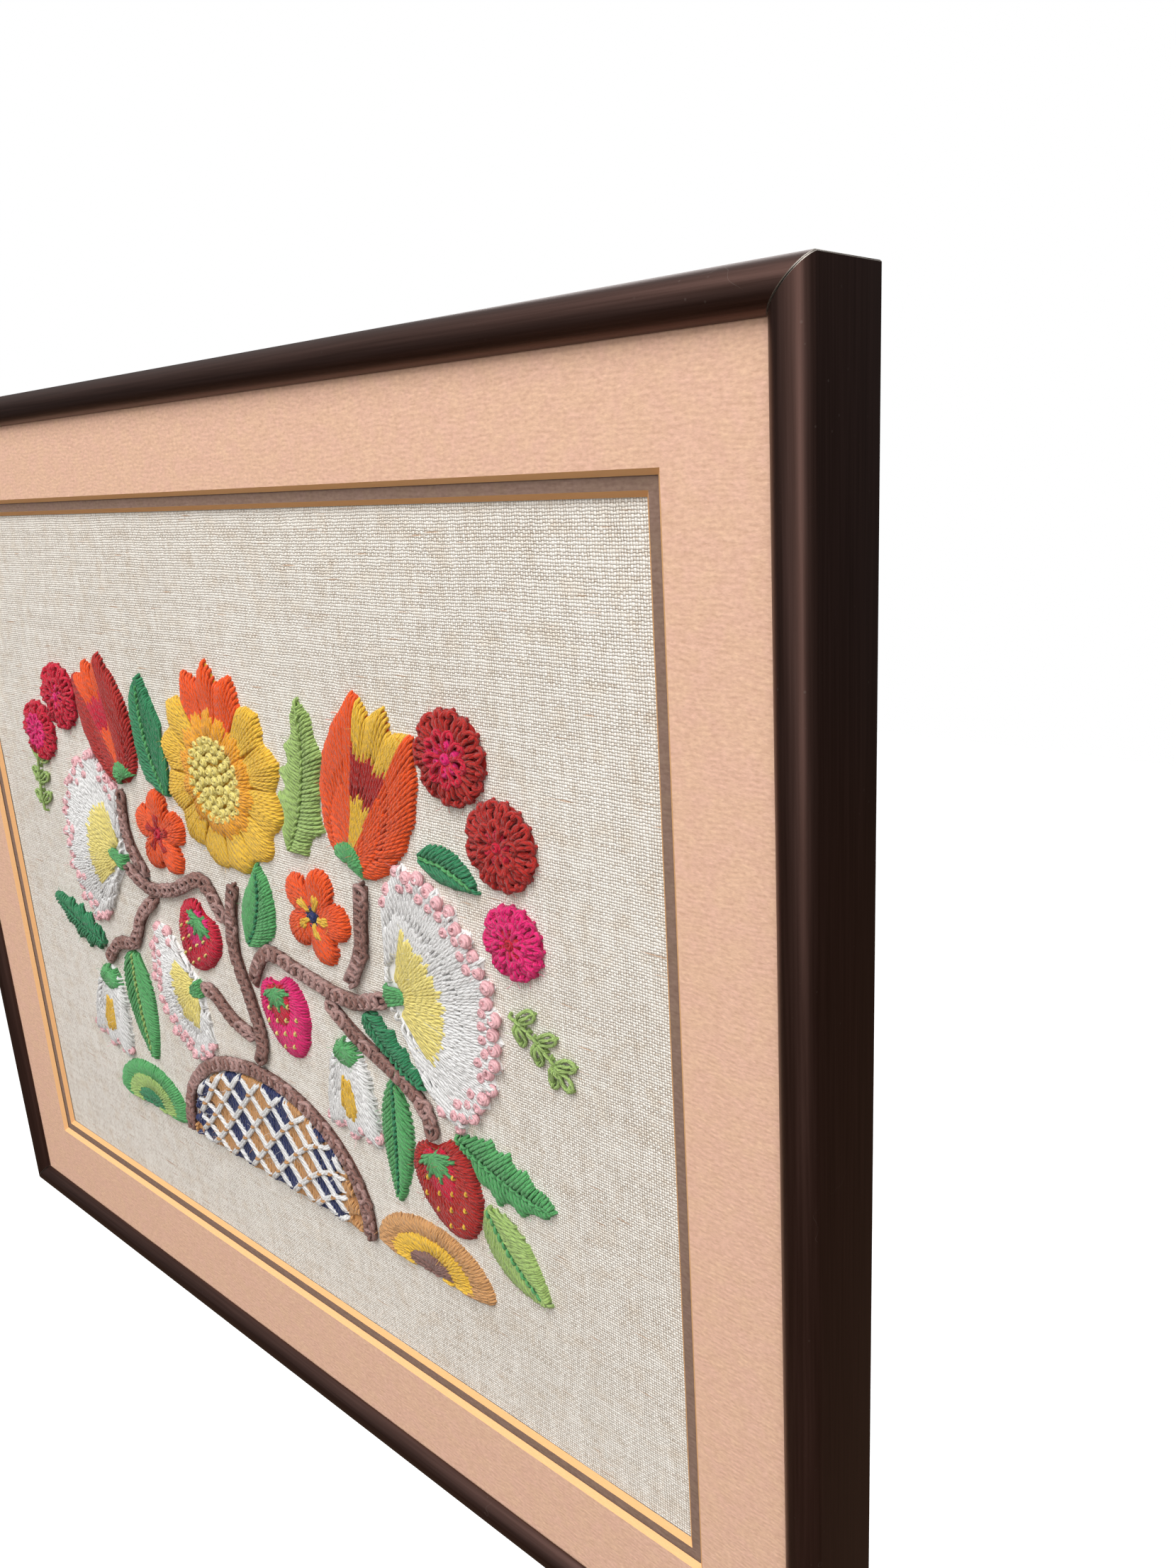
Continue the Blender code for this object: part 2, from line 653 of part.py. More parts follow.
def trellis_edge():
    # the brown cord that follows the mound, up one side, over its top and down the other
    reach = STEM_WIDTH / 2 + CLEAR + TRELLIS_EDGE_GAP
    middle = (TRELLIS_LEFT + TRELLIS_RIGHT) / 2
    half = (TRELLIS_RIGHT - TRELLIS_LEFT) / 2
    route = [(middle - half - reach, TRELLIS_FOOT)]
    for step in range(TRELLIS_EDGE_STEPS + 1):
        angle = math.pi * (1 - step / TRELLIS_EDGE_STEPS)
        route.append((middle + (half + reach) * math.cos(angle),
                      TRELLIS_FOOT + TRELLIS_SIDE + (TRELLIS_RISE + reach) * math.sin(angle)))
    return route + [(middle + half + reach, TRELLIS_FOOT)]


def make_mound(name, u, v, half_width, rise, colour):
    rows = []
    for step in range(MOUND_ARC_STEPS + 1):
        angle = math.pi * step / MOUND_ARC_STEPS
        rows.append((u + half_width * math.cos(angle), v + MOUND_SIDE + rise * math.sin(angle)))
    for step in range(1, MOUND_FOOT_STEPS):
        rows.append((u + half_width * (2 * step / MOUND_FOOT_STEPS - 1), v))
    centre = (u, v + MOUND_MIDDLE * rise)
    rim = [mix(centre, end, clear_reach(centre, end)) for end in rows]
    count = len(rim)
    points = [wool_point(point, 0.0) for point in rim]
    faces = []
    for number, (share, height) in enumerate(MOUND_RINGS):
        points += [wool_point(mix(centre, point, share), height) for point in rim]
        faces += loop_faces(number * count, (number + 1) * count, count)
    top = len(points)
    points += [wool_point(centre, MOUND_TOP), wool_point(centre, 0.0)]
    last = len(MOUND_RINGS) * count
    for i in range(count):
        faces.append((last + i, last + (i + 1) % count, top))
        faces.append(((i + 1) % count, i, top + 1))
    add_object(name, points, faces, colour)
    take_place(rim)


def make_needlework():
    make_trellis()
    make_stem("hillock_edge", trellis_edge())
    for row in FLOWERS:
        make_flower(*row)
    for row in MOUNDS:
        make_mound(*row)
    for name, points in STEMS:
        make_stem(name, points)
    for row in LEAVES:
        make_leaf(*row)


for old in list(bpy.data.objects):
    bpy.data.objects.remove(old, do_unlink=True)
make_frame()
make_boards()
make_needlework()
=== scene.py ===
import json
import math
import random

import bmesh
import bpy
from mathutils import Matrix, Vector
from mathutils.bvhtree import BVHTree

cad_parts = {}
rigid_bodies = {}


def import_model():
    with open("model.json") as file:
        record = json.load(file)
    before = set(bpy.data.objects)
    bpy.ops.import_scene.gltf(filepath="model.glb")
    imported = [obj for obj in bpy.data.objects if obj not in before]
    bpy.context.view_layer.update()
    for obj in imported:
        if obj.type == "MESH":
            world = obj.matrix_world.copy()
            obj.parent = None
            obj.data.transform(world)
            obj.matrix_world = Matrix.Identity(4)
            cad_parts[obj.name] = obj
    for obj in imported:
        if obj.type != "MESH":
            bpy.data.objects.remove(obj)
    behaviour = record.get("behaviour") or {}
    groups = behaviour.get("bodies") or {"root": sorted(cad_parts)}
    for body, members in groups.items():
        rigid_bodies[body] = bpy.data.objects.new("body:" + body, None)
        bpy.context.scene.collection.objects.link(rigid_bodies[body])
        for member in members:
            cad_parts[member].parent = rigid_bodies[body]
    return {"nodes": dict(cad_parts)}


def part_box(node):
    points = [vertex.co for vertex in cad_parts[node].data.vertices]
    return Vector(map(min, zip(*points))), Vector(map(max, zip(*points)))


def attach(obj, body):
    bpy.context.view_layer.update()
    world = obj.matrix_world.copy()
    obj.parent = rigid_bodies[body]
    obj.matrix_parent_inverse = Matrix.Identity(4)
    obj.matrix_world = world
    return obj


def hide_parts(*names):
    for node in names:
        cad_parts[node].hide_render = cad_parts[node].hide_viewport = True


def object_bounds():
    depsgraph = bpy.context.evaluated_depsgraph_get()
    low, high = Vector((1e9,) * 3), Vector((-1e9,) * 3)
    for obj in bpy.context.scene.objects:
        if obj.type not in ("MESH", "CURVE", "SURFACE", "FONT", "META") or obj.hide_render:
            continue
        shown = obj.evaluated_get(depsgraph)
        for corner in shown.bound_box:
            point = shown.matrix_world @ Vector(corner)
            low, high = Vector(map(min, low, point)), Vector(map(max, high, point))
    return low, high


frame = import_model()
cadLow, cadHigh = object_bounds()
nodes = frame["nodes"]
mm = 0.001

# The frame of the needlework: u right and v up from the middle of the design, height off the cloth,
# all in millimetres

design = {
    "centreX": -6.5,
    "centreZ": -185.0,
    "solidBase": 0.3,       # where the wool solids start, above the linen
}
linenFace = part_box("linen_ground")[0].y


def onCloth(u, v, height):
    return Vector(((design["centreX"] + u) * mm, linenFace - height * mm,
                   (design["centreZ"] + v) * mm))


def along(turn, length):
    angle = math.radians(turn)
    return Vector((length * math.cos(angle), length * math.sin(angle)))


def blendOf(a, b, share):
    return a + (b - a) * share


# Node helpers, for shaders and for geometry alike

def place(tree, kind, wires=None, **settings):
    made = tree.nodes.new(kind)
    for key, value in settings.items():
        setattr(made, key, value)
    for key, value in (wires or {}).items():
        if isinstance(value, bpy.types.NodeSocket):
            tree.links.new(value, made.inputs[key])
        else:
            made.inputs[key].default_value = value
    return made


def calc(tree, operation, *values):
    return place(tree, "ShaderNodeMath", dict(enumerate(values)), operation=operation).outputs[0]


def remap(tree, value, low, high, toLow=0.0, toHigh=1.0):
    wires = {"Value": value, "From Min": low, "From Max": high, "To Min": toLow, "To Max": toHigh}
    return place(tree, "ShaderNodeMapRange", wires).outputs["Result"]


def noise(tree, vector, scale, detail=2.0, output="Fac"):
    wires = {"Vector": vector, "Scale": scale, "Detail": detail}
    return place(tree, "ShaderNodeTexNoise", wires).outputs[output]


def whiteNoise(tree, vector):
    made = place(tree, "ShaderNodeTexWhiteNoise", {"Vector": vector}, noise_dimensions="3D")
    return made.outputs["Value"]


def mixColour(tree, share, first, second):
    return place(tree, "ShaderNodeMix", {0: share, 6: first, 7: second}, data_type="RGBA").outputs[2]


def calcVector(tree, operation, *values):
    return place(tree, "ShaderNodeVectorMath", dict(enumerate(values)), operation=operation).outputs[0]


def combine(tree, *values):
    return place(tree, "ShaderNodeCombineXYZ", dict(enumerate(values))).outputs[0]


def separate(tree, vector):
    return place(tree, "ShaderNodeSeparateXYZ", {0: vector}).outputs


def objectSpace(tree):
    return tree.nodes.new("ShaderNodeTexCoord").outputs["Object"]


def stored(tree, name, output="Fac"):
    return place(tree, "ShaderNodeAttribute", attribute_name=name).outputs[output]


def store(tree, geometry, name, value, kind="FLOAT"):
    wires = {"Geometry": geometry, "Name": name, "Value": value}
    return place(tree, "GeometryNodeStoreNamedAttribute", wires, data_type=kind, domain="POINT").outputs[0]


def giveOut(tree, out, values):
    for key, value in values.items():
        tree.links.new(value, out.inputs[key])


def newGroup(name, kind, inputs, outputs):
    tree = bpy.data.node_groups.new(name, kind)
    for label, socketType, value in inputs:
        socket = tree.interface.new_socket(name=label, in_out="INPUT", socket_type=socketType)
        if value is not None:
            socket.default_value = value
    for label, socketType in outputs:
        tree.interface.new_socket(name=label, in_out="OUTPUT", socket_type=socketType)
    return tree, tree.nodes.new("NodeGroupInput"), tree.nodes.new("NodeGroupOutput")


def newMaterial(name, roughness=0.8, metallic=0.0, specular=0.5):
    material = bpy.data.materials.new(name)
    material.use_nodes = True
    shader = material.node_tree.nodes["Principled BSDF"]
    shader.inputs["Roughness"].default_value = roughness
    shader.inputs["Metallic"].default_value = metallic
    shader.inputs["Specular IOR Level"].default_value = specular
    return material, material.node_tree, shader


def useGroup(tree, name, wires):
    return place(tree, "ShaderNodeGroup", wires, node_tree=bpy.data.node_groups[name])


def addBump(tree, shader, height, depth, strength=1.0):
    bump = place(tree, "ShaderNodeBump", {"Height": height, "Distance": depth, "Strength": strength})
    tree.links.new(bump.outputs["Normal"], shader.inputs["Normal"])


def linear(red, green, blue):
    # from the 0 to 255 values seen on a screen
    return tuple((c / 255 / 12.92) if c <= 10 else ((c / 255 + 0.055) / 1.055) ** 2.4
                 for c in (red, green, blue)) + (1.0,)


# Wool: three plies twisted together, with fibres along them

wool = {
    "plies": 3,
    "plyTurn": 8.5 * mm,
    "plyDepth": 0.42 * mm,
    "fibreAcross": 2.6,     # fibres over the yarn's width
    "fibreAlong": 340.0,    # and over a metre of its length
    "roughness": 0.72,
    "sheen": 0.45,
    # painted sheen: how much of a whitened wool colour is laid on in streaks along the fibres
    "paintedSheenFibres": 0.55,
    "colours": {
        "white": (255, 255, 255),
        "pink": (255, 200, 206),
        "paleYellow": (255, 238, 142),
        "gold": (255, 206, 68),
        "marigold": (255, 178, 46),
        "orange": (255, 94, 28),
        "rust": (190, 38, 32),
        "crimson": (216, 20, 58),
        "magenta": (240, 30, 122),
        "deepGreen": (54, 146, 98),
        "green": (96, 182, 110),
        "lime": (174, 206, 120),
        "navy": (40, 52, 106),
        "tan": (222, 166, 108),
        "brown": (150, 110, 101),
        "mauveBrown": (182, 144, 138),
    },
}


def buildYarnSurface():
    tree, given, out = newGroup(
        "yarnSurface", "ShaderNodeTree", [("Ply Turn", "NodeSocketFloat", 0.005)],
        [("Height", "NodeSocketFloat"), ("Tone", "NodeSocketFloat"), ("Sheen Streaks", "NodeSocketFloat")])
    lengthwise, shade = stored(tree, "yarnLength"), stored(tree, "shade")
    turns = calc(tree, "DIVIDE", lengthwise, given.outputs["Ply Turn"])
    angle = calc(tree, "MULTIPLY_ADD", turns, math.tau, calc(tree, "MULTIPLY", shade, 9.0))
    cosine, sine = calc(tree, "COSINE", angle), calc(tree, "SINE", angle)
    x, y, _ = separate(tree, stored(tree, "yarnRound", "Vector"))
    across = calc(tree, "ADD", calc(tree, "MULTIPLY", x, cosine), calc(tree, "MULTIPLY", y, sine))
    side = calc(tree, "SUBTRACT", calc(tree, "MULTIPLY", y, cosine), calc(tree, "MULTIPLY", x, sine))
    around = calc(tree, "ADD", calc(tree, "ARCTAN2", y, x), angle)
    # lobe is high on each ply's crest and low in the grooves between plies: it shapes the bump, and in the
    # tone it paints shade into the grooves
    lobe = calc(tree, "ABSOLUTE", calc(tree, "COSINE", calc(tree, "MULTIPLY", around, wool["plies"] / 2)))
    lobe = calc(tree, "POWER", lobe, 0.55)
    seed = calc(tree, "MULTIPLY", shade, 40.0)
    spot = combine(tree, calc(tree, "MULTIPLY", across, wool["fibreAcross"]),
                   calc(tree, "MULTIPLY_ADD", side, wool["fibreAcross"], seed),
                   calc(tree, "MULTIPLY", lengthwise, wool["fibreAlong"]))
    fibre = calc(tree, "SUBTRACT", noise(tree, spot, 1.0, 4.0), 0.5)
    coordinate = tree.nodes.new("ShaderNodeTexCoord")
    uneven = noise(tree, coordinate.outputs["Object"], 420.0, 1.0)
    outward = separate(tree, coordinate.outputs["Normal"])[1]
    paintedSideShade = remap(tree, outward, 0.05, -0.65, 0.30, 1.0)      # painted shade: darker down the sides of each strand, where its neighbours shade it
    # tone: painted shade in the ply grooves and down the strand sides, with the fibres, unevenness and each
    # strand's own shade as real tone
    tone = calc(tree, "MULTIPLY_ADD", lobe, 0.70, calc(tree, "MULTIPLY_ADD", fibre, 2.2, 0.38))
    tone = calc(tree, "MULTIPLY_ADD", uneven, 0.4, tone)
    # shade is each strand's own random tone; the padding's low value paints shade
    tone = calc(tree, "MULTIPLY_ADD", shade, 0.38, tone)
    # loose hairs keep their full colour, out of the painted shade
    tone = calc(tree, "MAXIMUM", calc(tree, "MULTIPLY", tone, paintedSideShade), stored(tree, "loose"))
    # painted sheen: fine streaks along the fibres, lighter as if they catch the light
    fine = calcVector(tree, "MULTIPLY", spot, (1.9, 1.9, 0.8))
    giveOut(tree, out, {"Height": calc(tree, "MULTIPLY_ADD", fibre, 1.5, lobe), "Tone": tone,
                        "Sheen Streaks": remap(tree, noise(tree, fine, 1.0, 2.0), 0.56, 0.70)})


def woolMaterial(name, colour):
    material, tree, shader = newMaterial("wool_" + name, roughness=wool["roughness"], specular=0.28)
    surface = useGroup(tree, "yarnSurface", {"Ply Turn": wool["plyTurn"]})
    light = linear(*colour)
    depth = 0.34 + 0.50 * (0.3 * light[0] + 0.59 * light[1] + 0.11 * light[2])   # the painted shade is shallower on pale wool, where light bounces through it
    # dark: the wool's colour in painted shade, which Tone mixes in for the grooves, the strand sides and the
    # padding, and a little for the real tone of fibres and strands
    dark = tuple(c ** 1.2 * depth for c in light[:3]) + (1.0,)
    # pale: a whitened copy of the wool's colour, the colour of the painted sheen
    pale = tuple(0.72 * c + 0.28 * (0.3 + 0.7 * c) for c in light[:3]) + (1.0,)
    colour = mixColour(tree, surface.outputs["Tone"], dark, light)
    paintedSheen = calc(tree, "MULTIPLY", surface.outputs["Sheen Streaks"], wool["paintedSheenFibres"])
    tree.links.new(mixColour(tree, paintedSheen, colour, pale), shader.inputs["Base Color"])
    shader.inputs["Sheen Weight"].default_value = wool["sheen"]
    shader.inputs["Sheen Roughness"].default_value = 0.4
    shader.inputs["Sheen Tint"].default_value = tuple(0.5 + 0.5 * c for c in light[:3]) + (1.0,)
    addBump(tree, shader, surface.outputs["Height"], wool["plyDepth"])
    return material


buildYarnSurface()
woolMaterials = {name: woolMaterial(name, colour) for name, colour in wool["colours"].items()}
print("wool materials made:", len(woolMaterials))


# Geometry Nodes: a strand of yarn along each line, and a French knot on each point

fuzz = {
    "density": 34000.0,     # hairs on a square metre of yarn
    "length": 2.3 * mm,
    "radius": 0.042 * mm,
    "seed": 5,
}

yarn = {
    "radius": 0.66 * mm,
    "sides": 6,
    "knotRadius": 0.62 * mm,
    "knotSides": 6,
    "knotWide": 1.25 * mm,
    "knotNarrow": 0.62 * mm,
    "knotRise": 0.85 * mm,
}


def strandOf(tree, curve, radius, sides):
    # a curve and a round profile for it, which keep the place along the yarn and round it
    lengthwise = tree.nodes.new("GeometryNodeSplineParameter").outputs["Length"]
    circle = place(tree, "GeometryNodeCurvePrimitiveCircle", {"Resolution": sides, "Radius": radius},
                   mode="RADIUS").outputs[0]
    outward = calcVector(tree, "NORMALIZE", tree.nodes.new("GeometryNodeInputPosition").outputs[0])
    return {"Curve": store(tree, curve, "yarnLength", lengthwise),
            "Profile Curve": store(tree, circle, "yarnRound", outward, "FLOAT_VECTOR"), "Fill Caps": True}


fuzzInputs = [("Hair Density", "NodeSocketFloat", 34000.0), ("Hair Length", "NodeSocketFloat", 0.0023),
              ("Hair Radius", "NodeSocketFloat", 0.000042), ("Seed", "NodeSocketInt", 5)]


def withHairs(tree, given, body):
    # loose fibres that stand off the yarn, each a small bent tube
    half = calc(tree, "MULTIPLY", given.outputs["Hair Length"], 0.5)
    middle = combine(tree, 0.0, calc(tree, "MULTIPLY", half, 0.5), half)
    end = combine(tree, 0.0, calc(tree, "MULTIPLY", half, 1.4), calc(tree, "MULTIPLY", half, 1.3))
    bent = place(tree, "GeometryNodeCurveQuadraticBezier", {
        "Resolution": 2, "Start": (0.0, 0.0, 0.0), "Middle": middle, "End": end})
    thin = place(tree, "GeometryNodeCurvePrimitiveCircle", {
        "Resolution": 3, "Radius": given.outputs["Hair Radius"]}, mode="RADIUS")
    hair = place(tree, "GeometryNodeCurveToMesh", {
        "Curve": bent.outputs[0], "Profile Curve": thin.outputs[0], "Fill Caps": True})
    spots = place(tree, "GeometryNodeDistributePointsOnFaces", {
        "Mesh": body, "Density": given.outputs["Hair Density"], "Seed": given.outputs["Seed"]})
    lean = place(tree, "FunctionNodeRandomValue", {
        "Min": (0.5, 0.0, 0.0), "Max": (1.45, 0.0, math.tau), "Seed": given.outputs["Seed"]},
        data_type="FLOAT_VECTOR")
    leaning = place(tree, "FunctionNodeEulerToRotation", {0: lean.outputs[0]})
    turned = place(tree, "FunctionNodeRotateRotation", {
        "Rotation": spots.outputs["Rotation"], "Rotate By": leaning.outputs[0]}, rotation_space="LOCAL")
    size = place(tree, "FunctionNodeRandomValue", {2: 0.5, 3: 1.3, "Seed": given.outputs["Seed"]},
                 data_type="FLOAT")
    hairs = place(tree, "GeometryNodeInstanceOnPoints", {
        "Points": spots.outputs["Points"], "Instance": store(tree, hair.outputs[0], "loose", 1.0),
        "Rotation": turned.outputs[0], "Scale": size.outputs[1]})
    return joined(tree, body, hairs.outputs[0])


def joined(tree, *parts):
    made = tree.nodes.new("GeometryNodeJoinGeometry")
    for part in parts:
        tree.links.new(part, made.inputs[0])
    return made.outputs[0]


def giveYarn(tree, given, out, body):
    # the smooth yarn with its hairs, as one plain mesh in its wool
    smooth = place(tree, "GeometryNodeSetShadeSmooth", {0: body})
    real = place(tree, "GeometryNodeRealizeInstances", {0: withHairs(tree, given, smooth.outputs[0])})
    done = place(tree, "GeometryNodeSetMaterial", {
        "Geometry": real.outputs[0], "Material": given.outputs["Wool"]})
    tree.links.new(done.outputs[0], out.inputs[0])
    return tree


def buildYarnTree():
    tree, given, out = newGroup(
        "strandsOnLines", "GeometryNodeTree",
        [("Geometry", "NodeSocketGeometry", None), ("Yarn Radius", "NodeSocketFloat", 0.0007),
         ("Sides", "NodeSocketInt", 6), ("Wool", "NodeSocketMaterial", None)] + fuzzInputs,
        [("Geometry", "NodeSocketGeometry")])
    curve = place(tree, "GeometryNodeMeshToCurve", {0: given.outputs["Geometry"]})
    strand = strandOf(tree, curve.outputs[0], given.outputs["Yarn Radius"], given.outputs["Sides"])
    thick = place(tree, "GeometryNodeInputNamedAttribute", {"Name": "thick"}, data_type="FLOAT")
    swept = place(tree, "GeometryNodeCurveToMesh", {**strand, "Scale": thick.outputs[0]})
    return giveYarn(tree, given, out, swept.outputs[0])


def buildKnotTree():
    tree, given, out = newGroup(
        "knotsOnPoints", "GeometryNodeTree",
        [("Geometry", "NodeSocketGeometry", None), ("Yarn Radius", "NodeSocketFloat", 0.0006),
         ("Sides", "NodeSocketInt", 6), ("Wide", "NodeSocketFloat", 0.0012),
         ("Narrow", "NodeSocketFloat", 0.0006), ("Rise", "NodeSocketFloat", 0.0008),
         ("Wool", "NodeSocketMaterial", None)] + fuzzInputs,
        [("Geometry", "NodeSocketGeometry")])
    coil = place(tree, "GeometryNodeCurveSpiral", {
        "Resolution": 11, "Rotations": 2.15, "Start Radius": given.outputs["Wide"],
        "End Radius": given.outputs["Narrow"], "Height": given.outputs["Rise"]})
    raised = place(tree, "GeometryNodeTransform", {
        "Geometry": coil.outputs[0], "Translation": combine(tree, 0.0, 0.0, given.outputs["Yarn Radius"])})
    strand = strandOf(tree, raised.outputs[0], given.outputs["Yarn Radius"], given.outputs["Sides"])
    swept = place(tree, "GeometryNodeCurveToMesh", strand)
    core = place(tree, "GeometryNodeMeshIcoSphere", {
        "Radius": given.outputs["Wide"], "Subdivisions": 2})
    coreUp = combine(tree, 0.0, 0.0, calc(tree, "MULTIPLY", given.outputs["Rise"], 0.55))
    coreMoved = place(tree, "GeometryNodeTransform", {
        "Geometry": core.outputs[0], "Translation": coreUp, "Scale": (1.0, 1.0, 0.85)})
    spin = place(tree, "GeometryNodeInputNamedAttribute", {"Name": "spin"}, data_type="FLOAT")
    size = place(tree, "GeometryNodeInputNamedAttribute", {"Name": "size"}, data_type="FLOAT")
    copies = place(tree, "GeometryNodeInstanceOnPoints", {
        "Points": given.outputs["Geometry"],
        "Instance": joined(tree, swept.outputs[0], coreMoved.outputs[0]),
        "Rotation": combine(tree, math.pi / 2, spin.outputs[0]), "Scale": size.outputs[0]})
    whole = place(tree, "GeometryNodeRealizeInstances", {0: copies.outputs[0]})
    return giveYarn(tree, given, out, whole.outputs[0])


yarnTree = buildYarnTree()
knotTree = buildKnotTree()


def addObject(name, mesh):
    made = bpy.data.objects.new(name, mesh)
    bpy.context.scene.collection.objects.link(made)
    return made


def grow(name, points, edges, values, tree, inputs):
    # points and edges go through a tree, and come back as a plain mesh
    mesh = bpy.data.meshes.new(name)
    mesh.from_pydata(points, edges, [])
    for label, numbers in values.items():
        mesh.attributes.new(label, "FLOAT", "POINT").data.foreach_set("value", numbers)
    made = addObject(name, mesh)
    modifier = made.modifiers.new("grow", "NODES")
    modifier.node_group = tree
    inputs = {**inputs, "Hair Density": fuzz["density"], "Hair Length": fuzz["length"],
              "Hair Radius": fuzz["radius"], "Seed": fuzz["seed"]}
    for item in tree.interface.items_tree:
        if item.in_out == "INPUT" and item.name in inputs:
            modifier[item.identifier] = inputs[item.name]
    graph = bpy.context.evaluated_depsgraph_get()
    plain = bpy.data.meshes.new_from_object(
        made.evaluated_get(graph), preserve_all_data_layers=True, depsgraph=graph)
    made.modifiers.clear()
    made.data = plain
    bpy.data.meshes.remove(mesh)
    return made


def joinPieces(name, parts):
    if len(parts) > 1:
        with bpy.context.temp_override(active_object=parts[0], object=parts[0],
                                       selected_objects=parts, selected_editable_objects=parts):
            bpy.ops.object.join()
    parts[0].name = name
    parts[0].data.name = name
    return parts[0]


def ridePiece(piece, slot, *replaced):
    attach(piece, "root")
    if replaced:
        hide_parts(*replaced)
    return piece


# Stitches laid on a motif's solid

stitch = {
    "gap": 1.12,            # between neighbouring satin stitches
    "shoulder": 1.15,       # how far from its end a stitch has come up to full height
    "dive": -0.5,           # height of a stitch's end, inside the linen
    "section": 2.3,         # between the points of a stitch
    "step": 0.4,            # between the tests that find a motif's edge
    "ragged": 0.45,
    "padding": 0.50,        # height of the padding, as a share of the solid's
    "paddingInset": 0.6,
    "paddingPaintedShade": -1.8,   # painted shade: the padding is darker than any strand on it, as the gaps between stitches lie in shade
    "shortest": 0.9,
    "shortestRay": 1.2,
}


class Motif:

    def __init__(self, node):
        self.node = node
        mesh = nodes[node].data
        mesh.calc_loop_triangles()
        self.surface = BVHTree.FromPolygons(
            [v.co for v in mesh.vertices], [t.vertices for t in mesh.loop_triangles])
        self.dice = random.Random(node)
        self.strands = {}
        self.knots = {}

    def heightAt(self, spot):
        hit = self.surface.ray_cast(onCloth(spot.x, spot.y, 20), Vector((0, 1, 0)))[0]
        return None if hit is None else (linenFace - hit.y) / mm

    def clip(self, start, end):
        # the longest run of the line that lies on the motif
        length = (end - start).length
        count = max(2, int(length / stitch["step"]))
        best, run = [], []
        for i in range(count + 1):
            if self.heightAt(blendOf(start, end, i / count)) is None:
                run = []
            else:
                run.append(i / count)
            if len(run) > len(best):
                best = list(run)
        if len(best) < 2:
            return None
        return blendOf(start, end, best[0]), blendOf(start, end, best[-1])

    def reach(self, start, turn, limit=80.0):
        length = 0.0
        while length < limit and self.heightAt(start + along(turn, length + stitch["step"])) is not None:
            length += stitch["step"]
        return length

    def strand(self, colour, line, thick=1.0):
        self.strands.setdefault(colour, []).append((line, thick, self.dice.uniform(-1, 1)))

    def satin(self, colour, start, end, lift=0.0, thick=1.0, ragged=None, free=False):
        # one stitch that comes up, lies over the padding and goes down again
        ragged = stitch["ragged"] if ragged is None else ragged
        if not free:
            ends = self.clip(start, end)
            if ends is None:
                return
            start, end = ends
        length = (end - start).length
        if length < stitch["shortest"]:
            return
        way = (end - start) / length
        start = start - way * self.dice.uniform(-0.5, 0.5) * ragged
        end = end + way * self.dice.uniform(-0.5, 0.7) * ragged
        length = (end - start).length
        shoulder = min(stitch["shoulder"], length * 0.4)
        inner = max(1, round((length - 2 * shoulder) / stitch["section"]))
        places = [0.0, 0.3 * shoulder, 0.65 * shoulder]
        places += [shoulder + (length - 2 * shoulder) * i / inner for i in range(inner + 1)]
        places += [length - 0.65 * shoulder, length - 0.3 * shoulder, length]
        sway = self.dice.uniform(-0.25, 0.25)
        aside = Vector((-way.y, way.x))
        line, known = [], 1.0
        for distance in places:
            spot = start + way * distance
            found = self.heightAt(spot)
            known = known if found is None else found
            near = min(1.0, min(distance, length - distance) / shoulder)
            top = known - 0.6 * yarn["radius"] / mm * thick + lift
            bow = math.sin(math.pi * distance / length)
            spot = spot + aside * (sway * bow)
            height = stitch["dive"] + (top - stitch["dive"]) * math.sin(math.pi / 2 * near) ** 0.8
            line.append(onCloth(spot.x, spot.y, height))
        self.strand(colour, line, thick * self.dice.uniform(0.92, 1.08))

    def rays(self, colour, pole, turns, span, lift=0.0, thick=1.0, gap=None, limit=80.0, uneven=0.0):
        # stitches that fan out from the pole, between two shares of the way to the rim
        gap = (gap or stitch["gap"]) * thick
        turn, last = turns
        number = 0
        while turn <= last:
            reach = min(limit, self.reach(pole, turn))
            if reach * (span[1] - span[0]) > stitch["shortestRay"]:
                late = uneven * (number % 2) + self.dice.uniform(0, 0.04)
                start = pole + along(turn, reach * (span[0] + late * (span[1] - span[0])))
                end = pole + along(turn, reach * (span[1] + (0 if span[1] == 1 else
                                                             self.dice.uniform(-0.03, 0.03))))
                self.satin(colour, start, end, lift, thick)
            turn += math.degrees(gap / max(4.0, reach * span[1]))
            number += 1

    def loop(self, colour, base, turn, length, width, lift=0.0, thick=0.9, tie=True):
        # a lazy daisy: a teardrop of yarn, held by a small stitch over its tip
        line = []
        ahead, aside = along(turn, 1.0), along(turn + 90, 1.0)
        for k in range(13):
            angle = math.tau * k / 12
            spot = base + ahead * (length * (1 - math.cos(angle)) / 2)
            spot = spot + aside * (width / 2 * math.sin(angle) * math.sin(angle / 2) ** 0.7 * 1.15)
            found = self.heightAt(spot)
            top = (1.0 if found is None else found) - 0.55 * yarn["radius"] / mm + lift
            low = max(0.0, 1 - min(k, 12 - k) / 2.0)
            line.append(onCloth(spot.x, spot.y, top - low * min(1.4, top + 0.4)))
        self.strand(colour, line, thick * self.dice.uniform(0.93, 1.07))
        if tie:
            tip = base + ahead * length
            self.satin(colour, tip - ahead * 1.7, tip + ahead * 0.2, lift + 0.5, thick * 0.9, 0.2, True)

    def knot(self, colour, spot, size=1.0, lift=0.0):
        found = self.heightAt(spot)
        base = (1.2 if found is None else found) - 1.9 * size + lift
        self.knots.setdefault(colour, []).append(
            (onCloth(spot.x, spot.y, max(-0.2, base)), size, self.dice.uniform(0, math.tau),
             self.dice.uniform(-1, 1)))

    def padding(self, colour):
